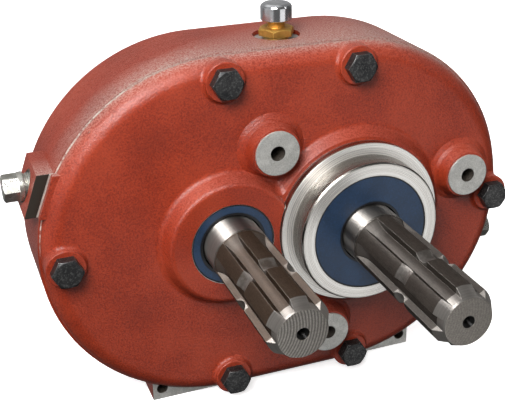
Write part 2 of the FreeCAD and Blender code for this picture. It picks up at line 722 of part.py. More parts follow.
main_boss_profile = new_sketch(cover, "main_boss_profile", "XY_Plane", x=half_gap)
skirt_top = -(mount_height - disc_thickness)
main_inner = main_bearing_end + main_lip
add_polygon(main_boss_profile, [
    (0, main_inner),
    (front_bearing_radius + bearing_shoulder, main_inner),
    (disc_radius + skirt_step + skirt_flare, -(face_height - boss_sink)),
    (disc_radius + skirt_step, skirt_top),
    (disc_radius, skirt_top),
    (disc_radius, -mount_height),
    (spigot_radius, -mount_height),
    (spigot_radius, spigot_front + spigot_chamfer),
    (spigot_radius - spigot_chamfer, spigot_front),
    (0, spigot_front),
])
main_boss = spin(cover, "Revolution", "main_boss", main_boss_profile)
dress(cover, "Fillet", "skirt_foot", main_boss,
      lambda edge: on_level(edge, -face_height.number) and from_point(edge, half_gap.number, 0) < skirt_reach.number,
      foot_rounding)
angle = math.radians(mount_start.number)
mount_x = half_gap + mount_circle * math.cos(angle)
mount_z = mount_circle * math.sin(angle)
mount_skirt = mount_boss_radius + mount_boss_step
sketch = new_sketch(cover, "mount_boss_profile", "XY_Plane", x=mount_x, z=mount_z)
add_polygon(sketch, [
    (0, -(face_height - boss_sink)),
    (mount_skirt + mount_boss_foot, -(face_height - boss_sink)),
    (mount_skirt + mount_boss_foot, -face_height),
    (mount_skirt + mount_boss_foot * 0.5, -(face_height + mount_foot_rise * 0.45)),
    (mount_skirt + mount_boss_flare, -(face_height + mount_foot_rise)),
    (mount_skirt, mount_boss_step - mount_height),
    (mount_boss_radius, mount_boss_step - mount_height),
    (mount_boss_radius, -mount_height),
    (0, -mount_height),
])
mount_boss = spin(cover, "Revolution", "mount_boss", sketch)
sketch = new_sketch(cover, "mount_hole_profile", "XY_Plane", x=mount_x, z=mount_z)
hole_floor = mount_hole_depth - mount_height
add_polygon(sketch, [
    (0, -mount_height),
    (mount_hole_radius, -mount_height),
    (mount_hole_radius, hole_floor),
    (0, hole_floor + mount_hole_radius * 0.577),
])
mount_hole = spin(cover, "Groove", "mount_hole", sketch)
polar(cover, "mount_bosses", [mount_boss, mount_hole], (main_boss_profile, ["V_Axis"]), mount_count)
sketch = new_sketch(cover, "pinion_bore_profile", "XY_Plane", x=-half_gap)
small_seal_back = -plateau_height + seal_inset + small_seal_width
add_polygon(sketch, [
    (0, -plateau_height),
    (small_seal_radius + seat_fit, -plateau_height),
    (small_seal_radius + seat_fit, small_seal_back),
    (journal_radius + collar_rise, small_seal_back),
    (journal_radius + collar_rise, pinion_bearing_start),
    (front_bearing_radius + seat_fit, pinion_bearing_start),
    (front_bearing_radius + seat_fit, inner_end),
    (0, inner_end),
])
spin(cover, "Groove", "pinion_bore", sketch)
sketch = new_sketch(cover, "main_bore_profile", "XY_Plane", x=half_gap)
clip_back = main_bearing_start
clip_front = clip_back - circlip_thickness
add_polygon(sketch, [
    (0, spigot_front),
    (front_bearing_radius + seat_fit, spigot_front),
    (front_bearing_radius + seat_fit, clip_front - clip_gap),
    (front_bearing_radius + circlip_sink, clip_front - clip_gap),
    (front_bearing_radius + circlip_sink, clip_back),
    (front_bearing_radius + seat_fit, clip_back),
    (front_bearing_radius + seat_fit, main_bearing_end),
    (front_bearing_radius - bearing_shoulder, main_bearing_end),
    (front_bearing_radius - bearing_shoulder, main_inner),
    (0, main_inner),
])
spin(cover, "Groove", "main_bore", sketch)
sketch = new_sketch(cover, "bolt_hole_outline", "XZ_Plane", z=bolt_seat)
for x, z in spot_places:
    add_circle(sketch, x, z, bolt_radius + bolt_hole_gap)
extrude(cover, "Pocket", "bolt_holes", sketch, bolt_seat)
sketch = new_sketch(cover, "cover_dowel_outline", "XZ_Plane", z=gasket_thickness)
for x, z in dowel_places:
    add_circle(sketch, x, z, dowel_radius + seat_fit)
cover.Tip = extrude(cover, "Pocket", "cover_dowel_holes", sketch, dowel_length / 2 - gasket_thickness, True)

# Joint gasket
gasket = new_body("joint_gasket", 0, joint_y, axis_height)
sketch = new_sketch(gasket, "gasket_outline", "XZ_Plane")
add_stadium(sketch, cover_radius - gasket_inset)
add_stadium(sketch, cavity_radius + gasket_inset)
extrude(gasket, "Pad", "gasket_sheet", sketch, gasket_thickness)
sketch = new_sketch(gasket, "gasket_lug_outline", "XZ_Plane")
add_polygon(sketch, pad_outline(-1, left_arc, left_plug_rise, lug_reach - gasket_inset))
extrude(gasket, "Pad", "gasket_lug", sketch, gasket_thickness)
sketch = new_sketch(gasket, "gasket_ear_outline", "XZ_Plane")
for x, z in spot_places:
    add_circle(sketch, x, z, inner_boss_radius - gasket_inset)
extrude(gasket, "Pad", "gasket_ears", sketch, gasket_thickness)
sketch = new_sketch(gasket, "gasket_hole_outline", "XZ_Plane", z=gasket_thickness)
for x, z in spot_places:
    add_circle(sketch, x, z, bolt_radius + bolt_hole_gap)
for x, z in dowel_places:
    add_circle(sketch, x, z, dowel_radius + bolt_hole_gap)
gasket.Tip = extrude(gasket, "Pocket", "gasket_holes", sketch, gasket_thickness)


def grouped(label, pieces):
    """One node that holds several equal solids."""
    group = doc.addObject("Part::Compound", label)
    group.Label = label
    group.Links = pieces
    nodes.append(group)
    return group


def copy_of(original, label, x, y, z, turn=None):
    """Linked copy of a body at its own place."""
    link = doc.addObject("App::Link", label)
    link.LinkedObject = original
    link.LinkTransform = False
    if turn is not None:
        link.Placement = FreeCAD.Placement(FreeCAD.Vector(), turn)
    bind(link, "Placement.Base.x", x)
    bind(link, "Placement.Base.y", y)
    bind(link, "Placement.Base.z", z)
    return link


# Cover bolts and dowel pins
forward = FreeCAD.Rotation(FreeCAD.Vector(0, 0, 1), 180)
bolt_tip = bolt_seat - bolt_length
bolt = turned("bolt_pattern_piece", [
    (0, bolt_tip),
    (bolt_radius - journal_chamfer, bolt_tip),
    (bolt_radius, bolt_tip + journal_chamfer),
    (bolt_radius, bolt_seat + 1),
    (0, bolt_seat + 1),
], 0, 0, 0, listed=False)
hex_head(bolt, "bolt", bolt_flats, bolt_seat, bolt_head)
copies = []
for i, (x, z) in enumerate(spot_places):
    copies.append(copy_of(bolt, "cover_bolt_" + str(i + 1), x, joint_y, axis_height + z, forward))
grouped("cover_bolts", copies)
pin = turned("dowel_pattern_piece", [
    (0, -(dowel_length / 2)),
    (dowel_radius - dowel_radius * 0.2, -(dowel_length / 2)),
    (dowel_radius, dowel_radius * 0.2 - dowel_length / 2),
    (dowel_radius, dowel_length / 2 - dowel_radius * 0.2),
    (dowel_radius - dowel_radius * 0.2, dowel_length / 2),
    (0, dowel_length / 2),
], 0, 0, 0, listed=False)
copies = []
for i, (x, z) in enumerate(dowel_places):
    copies.append(copy_of(pin, "dowel_pin_" + str(i + 1), x, joint_y, axis_height + z))
grouped("dowel_pins", copies)

# Main shaft with its gear wheel
main_end = -(mount_height + main_reach)
main_start = -(mount_height + main_journal)
wheel_back = gear_start + wheel_width
clip_seat = main_bearing_start - shaft_clip_thickness - clip_gap
main_profile = shaft_front(main_end, main_start) + [
    (journal_radius, clip_seat),
    (journal_radius - shaft_clip_sink, clip_seat),
    (journal_radius - shaft_clip_sink, main_bearing_start),
    (journal_radius, main_bearing_start),
    (journal_radius, wheel_back),
    (collar_radius, wheel_back),
    (collar_radius, rear_bearing_start),
    (rear_journal_radius, rear_bearing_start),
    (rear_journal_radius, shaft_back - journal_chamfer),
    (rear_journal_radius - journal_chamfer, shaft_back),
    (0, shaft_back),
]
main_shaft = turned("main_shaft", main_profile, half_gap)
add_splines(main_shaft, "main", main_start, main_end, main_lock)
sketch = new_sketch(main_shaft, "keyway_outline", "XZ_Plane", z=-gear_start)
key_floor = journal_radius - key_sink
half_key = key_width / 2
add_polygon(sketch, [
    (-half_key, key_floor), (half_key, key_floor),
    (half_key, journal_radius + 2), (-half_key, journal_radius + 2),
])
main_shaft.Tip = extrude(main_shaft, "Pocket", "keyway", sketch, wheel_width)
wheel_pitch = as_size(0) + wheel_teeth * shaft_gap / (wheel_teeth + pinion_teeth)
module = shaft_gap * 2 / (wheel_teeth + pinion_teeth)
hub = journal_radius + hub_wall
rim = wheel_pitch - module * 1.25 - rim_wall
wheel_tip = wheel_pitch + module
bore = journal_radius + seat_fit
wheel = turned("gear_wheel", [
    (bore, gear_start),
    (hub, gear_start),
    (hub, gear_start + web_recess),
    (rim, gear_start + web_recess),
    (rim, gear_start),
    (wheel_tip, gear_start),
    (wheel_tip, wheel_back),
    (rim, wheel_back),
    (rim, wheel_back - web_recess),
    (hub, wheel_back - web_recess),
    (hub, wheel_back),
    (bore, wheel_back),
], half_gap)
sketch = new_sketch(wheel, "wheel_keyway_outline", "XZ_Plane", z=-gear_start)
key_top = key_floor + key_height
add_polygon(sketch, [
    (-half_key, key_floor), (half_key, key_floor),
    (half_key, key_top + key_gap), (-half_key, key_top + key_gap),
])
extrude(wheel, "Pocket", "wheel_keyway", sketch, wheel_width)
cut_teeth(wheel, "wheel", wheel_teeth, 180.0 + 180.0 / wheel_teeth.number, gear_start, wheel_width)
key = new_body("gear_key", half_gap, joint_y, axis_height)
sketch = new_sketch(key, "key_outline", "XZ_Plane", z=-gear_start)
half_fit = half_key - seat_fit
add_polygon(sketch, [(-half_fit, key_floor), (half_fit, key_floor), (half_fit, key_top), (-half_fit, key_top)])
key.Tip = extrude(key, "Pad", "key_bar", sketch, wheel_width, True)
turned("gear_spacer", [
    (bore, main_bearing_end),
    (bore + spacer_wall, main_bearing_end),
    (bore + spacer_wall, gear_start),
    (bore, gear_start),
], half_gap)
clip_ground = journal_radius - shaft_clip_sink + seat_fit
turned("shaft_circlip", [
    (clip_ground, main_bearing_start - shaft_clip_thickness),
    (clip_ground + shaft_clip_width, main_bearing_start - shaft_clip_thickness),
    (clip_ground + shaft_clip_width, main_bearing_start),
    (clip_ground, main_bearing_start),
], half_gap, angle=325.0)
clip_edge = front_bearing_radius + circlip_sink - seat_fit
turned("bore_circlip", [
    (clip_edge - circlip_width, clip_front),
    (clip_edge, clip_front),
    (clip_edge, clip_back),
    (clip_edge - circlip_width, clip_back),
], half_gap, angle=330.0)

# Pinion shaft
pinion_end = -(mount_height + pinion_reach)
pinion_spline = -(mount_height + pinion_journal)
pinion_back = pinion_start + pinion_width
pinion_tip = pinion_teeth * shaft_gap / (wheel_teeth + pinion_teeth) + module
pinion_profile = shaft_front(pinion_end, pinion_spline) + [
    (journal_radius, pinion_bearing_end),
    (collar_radius, pinion_bearing_end),
    (collar_radius, pinion_start),
    (pinion_tip, pinion_start),
    (pinion_tip, pinion_back),
    (collar_radius, pinion_back),
    (collar_radius, rear_bearing_start),
    (rear_journal_radius, rear_bearing_start),
    (rear_journal_radius, shaft_back - journal_chamfer),
    (rear_journal_radius - journal_chamfer, shaft_back),
    (0, shaft_back),
]
pinion_shaft = turned("pinion_shaft", pinion_profile, -half_gap)
add_splines(pinion_shaft, "pinion", pinion_spline, pinion_end, pinion_lock)
cut_teeth(pinion_shaft, "pinion", pinion_teeth, 0.0, pinion_start, pinion_width)


def ball_bearing(label, x, start, inner, outer, width, ball):
    """Deep groove ball bearing: two rings, a row of balls and a snap cage."""
    pitch = (inner + outer) / 2
    middle = start + width / 2
    groove = ball + ball_gap
    flat = groove * math.tan(math.radians(22.5))
    inner_race = pitch - groove
    outer_race = pitch + groove
    end = start + width
    turned(label + "_outer_ring", [
        (outer, start),
        (outer, end),
        (outer_race - race_depth, end),
        (outer_race - race_depth, middle + flat + race_depth),
        (outer_race, middle + flat),
        (outer_race, middle - flat),
        (outer_race - race_depth, middle - flat - race_depth),
        (outer_race - race_depth, start),
    ], x)
    turned(label + "_inner_ring", [
        (inner + seat_fit, start),
        (inner_race + race_depth, start),
        (inner_race + race_depth, middle - flat - race_depth),
        (inner_race, middle - flat),
        (inner_race, middle + flat),
        (inner_race + race_depth, middle + flat + race_depth),
        (inner_race + race_depth, end),
        (inner + seat_fit, end),
    ], x)
    balls = []
    count = int(ball_count.number)
    for i in range(count):
        angle = 2 * math.pi * i / count
        piece = doc.addObject("Part::Sphere", label + "_ball_" + str(i + 1))
        bind(piece, "Radius", ball)
        bind(piece, "Placement.Base.x", x + pitch * math.cos(angle))
        bind(piece, "Placement.Base.y", joint_y + middle)
        bind(piece, "Placement.Base.z", axis_height + pitch * math.sin(angle))
        balls.append(piece)
    grouped(label + "_balls", balls)
    half = cage_thickness / 2
    ring_start = middle + ball + ball_gap
    ring_end = ring_start + cage_ring
    cage = turned(label + "_cage", [
        (pitch - half, ring_start),
        (pitch + half, ring_start),
        (pitch + half, ring_end),
        (pitch - half, ring_end),
    ], x)
    finger = new_sketch(cage, label + "_finger_outline", "XZ_Plane", z=-(ring_start + cage_ring / 2))
    side = finger_width / 2
    turn = math.pi / count
    corners = []
    for along, across in ((-half, -side), (half, -side), (half, side), (-half, side)):
        reach = pitch + along * 0.9
        corners.append((reach * math.cos(turn) - across * math.sin(turn),
                        reach * math.sin(turn) + across * math.cos(turn)))
    add_polygon(finger, corners)
    pad = extrude(cage, "Pad", label + "_finger", finger, ball * 1.5)
    polar(cage, label + "_fingers", [pad], (finger, ["N_Axis"]), ball_count)


ball_bearing("main_front_bearing", half_gap, main_bearing_start, journal_radius,
             front_bearing_radius, front_bearing_width, front_ball_radius)
ball_bearing("main_rear_bearing", half_gap, rear_bearing_start, rear_journal_radius,
             rear_bearing_radius, rear_bearing_width, rear_ball_radius)
ball_bearing("pinion_front_bearing", -half_gap, pinion_bearing_start, journal_radius,
             front_bearing_radius, front_bearing_width, front_ball_radius)
ball_bearing("pinion_rear_bearing", -half_gap, rear_bearing_start, rear_journal_radius,
             rear_bearing_radius, rear_bearing_width, rear_ball_radius)


def oil_seal(label, x, front, outer, width):
    """Rotary shaft seal with a sprung lip, and the garter spring that lies on the lip."""
    lip = journal_radius + running_fit
    back = front + width
    top = lip + lip_wall
    turned(label, [
        (lip + lip_relief, front),
        (outer, front),
        (outer, back),
        (outer - seal_wall, back),
        (outer - seal_wall, front + seal_wall),
        (top, front + seal_wall),
        (top, back - 1),
        (lip + lip_wall / 2, back - 1),
        (lip, back - seal_wall),
        (lip + lip_relief, front + seal_wall),
    ], x)
    ring = top + spring_radius
    level = back - seal_wall
    corners = []
    for i in range(8):
        angle = math.radians(45 * i + 22.5)
        reach = spring_radius / math.cos(math.radians(22.5))
        corners.append((ring + reach * math.cos(angle), level + reach * math.sin(angle)))
    turned(label + "_spring", corners, x)


oil_seal("pinion_oil_seal", -half_gap, -plateau_height + seal_inset, small_seal_radius, small_seal_width)
oil_seal("main_oil_seal", half_gap, spigot_front + seal_inset, front_bearing_radius, large_seal_width)


def side_plug(name):
    """Hexagon plug with a taper thread that stands out of its pad."""
    side, centre, rise, depth, front, reach, seat = plug_places[name]
    turn = FreeCAD.Rotation(FreeCAD.Vector(0, 0, 1), -90 * side)
    body = turned(name + "_plug", [
        (0, -plug_thread_in),
        (plug_thread_radius - journal_chamfer, -plug_thread_in),
        (plug_thread_radius, journal_chamfer - plug_thread_in),
        (plug_thread_radius, plug_thread_out),
        (plug_collar_radius, plug_thread_out),
        (plug_collar_radius, plug_thread_out + plug_collar),
        (0, plug_thread_out + plug_collar),
    ], centre + seat * side, joint_y + depth, axis_height + rise, turn)
    hex_head(body, name + "_plug", plug_flats, plug_thread_out + plug_collar, plug_hex)


side_plug("left")
side_plug("right")

# Breather
upright = FreeCAD.Rotation(FreeCAD.Vector(1, 0, 0), 90)
breather_place = (breather_side, joint_y + breather_from_joint, axis_height + outline_radius - breather_spot_depth)
cap_start = breather_foot + breather_hex + breather_neck
stem = turned("breather_body", [
    (0, -breather_thread),
    (breather_thread_radius, -breather_thread),
    (breather_thread_radius, breather_foot + wall_overlap),
    (breather_neck_radius, breather_foot + wall_overlap),
    (breather_neck_radius, cap_start + cap_wall * 2),
    (0, cap_start + cap_wall * 2),
], breather_place[0], breather_place[1], breather_place[2], upright)
hex_head(stem, "breather", breather_flats, breather_foot, breather_hex)
turned("breather_cap", [
    (breather_neck_radius + seat_fit, cap_start),
    (cap_radius - cap_wall / 2, cap_start),
    (cap_radius, cap_start + cap_wall / 2),
    (cap_radius, cap_start + cap_height - cap_dome),
    (cap_radius * 0.94, cap_start + cap_height - cap_dome * 0.6),
    (cap_radius * 0.78, cap_start + cap_height - cap_dome * 0.25),
    (cap_radius * 0.45, cap_start + cap_height - cap_dome * 0.05),
    (0, cap_start + cap_height),
    (0, cap_start + cap_wall * 2),
    (breather_neck_radius + seat_fit, cap_start + cap_wall * 2),
], breather_place[0], breather_place[1], breather_place[2], upright)

# Checks and files
doc.recompute()
for item in doc.Objects:
    if "Invalid" in item.State or "Error" in item.State:
        raise RuntimeError(item.Name + " failed: " + str(item.State))
for node in nodes:
    shape = node.Shape
    if shape.isNull() or not shape.isValid() or not shape.Solids:
        raise RuntimeError(node.Label + " has no valid shape")
os.makedirs("parts", exist_ok=True)
for node in nodes:
    node.Shape.exportStep("parts/" + node.Label + ".step")
    print(node.Label, len(node.Shape.Solids), round(node.Shape.Volume, 1))
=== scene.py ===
import math

import bmesh
import bpy
import numpy as np
from mathutils import Matrix, Vector


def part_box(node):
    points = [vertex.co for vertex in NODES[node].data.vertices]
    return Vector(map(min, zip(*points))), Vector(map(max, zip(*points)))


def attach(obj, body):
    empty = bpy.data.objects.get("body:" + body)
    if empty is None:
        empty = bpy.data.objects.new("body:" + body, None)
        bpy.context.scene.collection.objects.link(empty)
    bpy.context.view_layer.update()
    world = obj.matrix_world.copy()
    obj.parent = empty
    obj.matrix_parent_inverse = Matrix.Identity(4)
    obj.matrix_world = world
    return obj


bl_info = {
    "name": "Farm gearbox finishes",
    "version": (1, 0, 0),
    "blender": (4, 5, 0),
    "location": "3D View > Sidebar > Gearbox",
    "description": "Paint, machined faces, threads and studio for a two-shaft farm gearbox",
    "category": "Object",
}

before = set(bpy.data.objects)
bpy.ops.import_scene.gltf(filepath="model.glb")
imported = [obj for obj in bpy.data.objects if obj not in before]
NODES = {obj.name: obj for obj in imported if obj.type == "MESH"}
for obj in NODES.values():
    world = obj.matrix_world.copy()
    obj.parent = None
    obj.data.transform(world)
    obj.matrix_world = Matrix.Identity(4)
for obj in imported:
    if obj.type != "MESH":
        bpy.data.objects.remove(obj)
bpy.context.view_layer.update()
MM = 0.001


def middle(node):
    """Middle of a node's box at rest."""
    low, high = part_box(node)
    return (low + high) / 2


def tone(red, green, blue):
    """Colour as a user reads it, 0 to 255 a channel, turned into linear light by the usual power law."""
    plain = np.array([red, green, blue]) / 255.0
    linear = np.where(plain <= 0.04045, plain / 12.92, ((plain + 0.055) / 1.055) ** 2.4)
    return tuple(float(v) for v in linear)


def times(colour, factor):
    """Colour made lighter or darker by a factor."""
    return tuple(factor * c for c in colour)


# Axes and planes of the part
AXIS_Z = middle("main_shaft").z
MAIN_X = middle("main_shaft").x
PINION_X = middle("pinion_shaft").x
MAIN_AXIS = (MAIN_X, 0, AXIS_Z)
PINION_AXIS = (PINION_X, 0, AXIS_Z)
JOINT_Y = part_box("joint_gasket")[1].y

# Cover: planes in front of the joint, and radii
PILOT_ROOT_Y = JOINT_Y - 16.7 * MM
PILOT_SEAT_Y = JOINT_Y - 22 * MM
SPIGOT_END_Y = JOINT_Y - 35.9 * MM
BOSS_FACE_Y = JOINT_Y - 20.9 * MM
COVER_BACK_Y = JOINT_Y - 0.7 * MM
PILOT_RADIUS = 51.4 * MM
MAIN_BORE = 36.5 * MM
PINION_BORE = 25.15 * MM
MOUNT_DEGREES = (15, 135, 255)
MOUNT_CIRCLE = 75 * MM
MOUNT_HOLE = 4.4 * MM

# Casing: outline round the shafts, pads for the plugs, base and spot face
CASING_FRONT_Y = JOINT_Y + 0.1 * MM
OUTLINE = 108.7 * MM
OUTLINE_RIGHT_X = MAIN_X - 2 * MM
JOINT_LINE = 107.7 * MM
PAD_LINE = 108.6 * MM
PAD_LOW_Z = 60 * MM
PAD_SLOPE = math.radians(21.7)
SEEP_REACH = 109.65 * MM
BASE_FACE_Z = 0.1 * MM
BASE_EDGE_Z = 1.1 * MM
BASE_HOLE_X = 83 * MM
BASE_HOLE_Z = 7.5 * MM
BASE_HOLE = 3.5 * MM
SPOT_FLOOR_Z = AXIS_Z + 105.9 * MM
SPOT_LOW_Z = AXIS_Z + 90 * MM
SPOT_RADIUS = 14.1 * MM
PLUG_SEAT = 9.05 * MM
PLUG_SIDE_X = 60 * MM

# Shafts: radii and lengths of the splines, their locking groove and the end face
SPLINE_FLOOR = 16.6 * MM
GROOVE_HALF = 5.6 * MM
GROOVE_LOW = 14.6 * MM
GROOVE_TOP = 17.25 * MM
TIP_LENGTH = 6.9 * MM
TIP_RADIUS = 13.2 * MM
RUNOUT_LENGTH = 13 * MM
RUNOUT_LOW = 14.1 * MM
RUNOUT_TOP = 17.1 * MM
CENTRE_HOLE = 3.45 * MM
CENTRE_DEPTH = 30 * MM
SAW_X = -26 * MM
SAW_Z = 5 * MM
SAW_PITCH = 1.6 * MM

# Threads in sight: where they start, their core and their length
PLUG_THREAD_START = 17.1 * MM
PLUG_THREAD_CORE = 6.85 * MM
PLUG_THREAD_LENGTH = 5.6 * MM
BREATHER_THREAD_START = 8.55 * MM
BREATHER_THREAD_CORE = 7.02 * MM
BREATHER_THREAD_LENGTH = 2.6 * MM
THREAD_SIDES = 48
THREAD_ROWS = 6

# Second tones that the finishes mix in
DULL_RED = tone(116, 46, 34)
DULL_IRON = tone(142, 140, 136)
PALE_IRON = tone(228, 227, 222)
LATHE_LIGHT = tone(226, 224, 220)
LATHE_DARK = tone(196, 192, 186)
# Painted shade for the walls of the pilot.
WALL_SHADE = tone(120, 114, 107)
GROUND_DARK = tone(152, 147, 142)
END_LIGHT = tone(150, 144, 137)
END_DARK = tone(122, 117, 110)
SAW_MARK = tone(40, 36, 32)
# Painted shade in the centre hole.
HOLE_SHADE = tone(20, 19, 18)
RUBBED_EDGE = tone(190, 184, 176)
GASKET_DARK = tone(150, 140, 128)

# Studio floor: radius and height of its profile in metres, and the points around it
FLOOR_PROFILE = ((0.001, 0.0), (2.0, 0.0), (5.0, 0.0), (6.0, 0.3), (6.6, 1.2), (6.8, 2.6), (6.9, 6.0))
FLOOR_SIDES = 64
SENSOR_WIDTH = 36.0


def colour_choice(name, description, red, green, blue):
    """A colour that the user can change."""
    return bpy.props.FloatVectorProperty(
        name=name, description=description, default=tone(red, green, blue), size=3, subtype="COLOR",
        min=0, max=1)


def length_choice(name, description, default):
    """A length that the user can change."""
    return bpy.props.FloatProperty(name=name, description=description, default=default, unit="LENGTH")


def angle_choice(name, description, degrees):
    """An angle that the user can change."""
    return bpy.props.FloatProperty(
        name=name, description=description, default=math.radians(degrees), subtype="ANGLE")


def power_choice(name, description, default, unit="POWER"):
    """The strength of a light that the user can change."""
    return bpy.props.FloatProperty(name=name, description=description, default=default, min=0, unit=unit)


class CastPaint(bpy.types.PropertyGroup):
    """Colours and grain of the painted castings."""

    red: colour_choice("Red", "Paint on the castings", 148, 49, 26)
    faded: colour_choice("Faded red", "Paint where it is rubbed", 190, 80, 52)
    deep: colour_choice("Deep red", "Paint in the low spots of the grain", 104, 32, 19)
    # Dust colour; it also paints the sheen that light gives faces that look up, most near the joint.
    dust_and_sheen: colour_choice("Dust", "Dust that lies on faces that look up", 178, 164, 156)
    milled: colour_choice("Milled iron", "Faces that are machined after casting", 196, 195, 190)
    # Dark colour: painted shade in the tapped holes and base holes, and the dark front of the plug pad.
    hole_shade_and_dark_pad: colour_choice("Raw iron", "Tapped holes and the joint face of the plug pad", 66, 60, 54)
    gasket: colour_choice("Gasket", "Edge of the sealing sheet in the joint", 214, 206, 196)
    grain: length_choice("Grain", "Size of the sand grain in the casting skin", 1.0 * MM)
    gloss: bpy.props.FloatProperty(
        name="Roughness", description="Roughness of the paint", default=0.29, min=0, max=1, subtype="FACTOR")


class MetalTones(bpy.types.PropertyGroup):
    """Colours of the metal and rubber pieces."""

    ground: colour_choice("Ground steel", "Journals of the shafts", 188, 183, 177)
    spline: colour_choice("Spline steel", "Flanks and crowns of the splines", 66, 60, 55)
    gear: colour_choice("Gear steel", "Gear wheel, key and spacer", 150, 146, 140)
    bearing: colour_choice("Bearing steel", "Rings and balls", 206, 206, 206)
    cage: colour_choice("Cage steel", "Pressed bearing cages", 168, 160, 140)
    black: colour_choice("Blackened steel", "Cover bolts and clips", 57, 57, 57)
    zinc: colour_choice("Zinc", "Side plugs", 205, 204, 198)
    brass: colour_choice("Brass", "Breather body", 224, 180, 98)
    chrome: colour_choice("Chrome", "Breather cap", 208, 209, 211)
    seal: colour_choice("Seal blue", "Face of the oil seals", 33, 55, 82)
    rubber: colour_choice("Black rubber", "Lip and edge of the oil seals", 16, 16, 18)


class ThreadSizes(bpy.types.PropertyGroup):
    """Threads that stand out of their holes."""

    plug_pitch: length_choice("Plug pitch", "Pitch of the side plug thread", 1.34 * MM)
    breather_pitch: length_choice("Breather pitch", "Pitch of the breather thread", 1.0 * MM)
    depth: length_choice("Depth", "Height of the thread ridges", 0.5 * MM)


class Studio(bpy.types.PropertyGroup):
    """Camera, light and floor."""

    azimuth: angle_choice("Azimuth", "Camera angle round the object", -19.97)
    elevation: angle_choice("Elevation", "Camera angle above the floor", 24.70)
    roll: angle_choice("Roll", "Turn of the picture", -1.05)
    place: bpy.props.FloatVectorProperty(
        name="Camera place", description="Where the camera stands", default=(-0.19661, -0.51487, 0.36286),
        size=3, subtype="TRANSLATION", unit="LENGTH")
    lens: bpy.props.FloatProperty(
        name="Lens", description="Focal length on a 36 mm sensor", default=68.1, unit="CAMERA")
    floor: colour_choice("Floor", "Pale studio floor", 254, 254, 254)
    key: power_choice("Key light", "Power of the softbox in front and above", 8.8)
    glint: power_choice("Glint", "Power of the small light in the key", 2.2)
    side: power_choice("Top light", "Power of the softbox high at the left", 5.5)
    strip: power_choice("Strip light", "Power of the narrow softbox at the right", 1.5)
    back: power_choice("Back light", "Power of the low softbox behind", 9.0)
    far: power_choice("Far light", "Power of the softbox at the far right", 10.0)
    card: power_choice("Card", "Power of the pale card low in front that only gloss mirrors", 4.2)
    air: power_choice("Backdrop", "Strength of the light from behind and above", 0.3, "NONE")
    ceiling: power_choice("Ceiling", "Strength of the pale ceiling", 0.6, "NONE")
    left_panel: power_choice("Left panel", "Strength of the pale wall at the left", 0.5, "NONE")


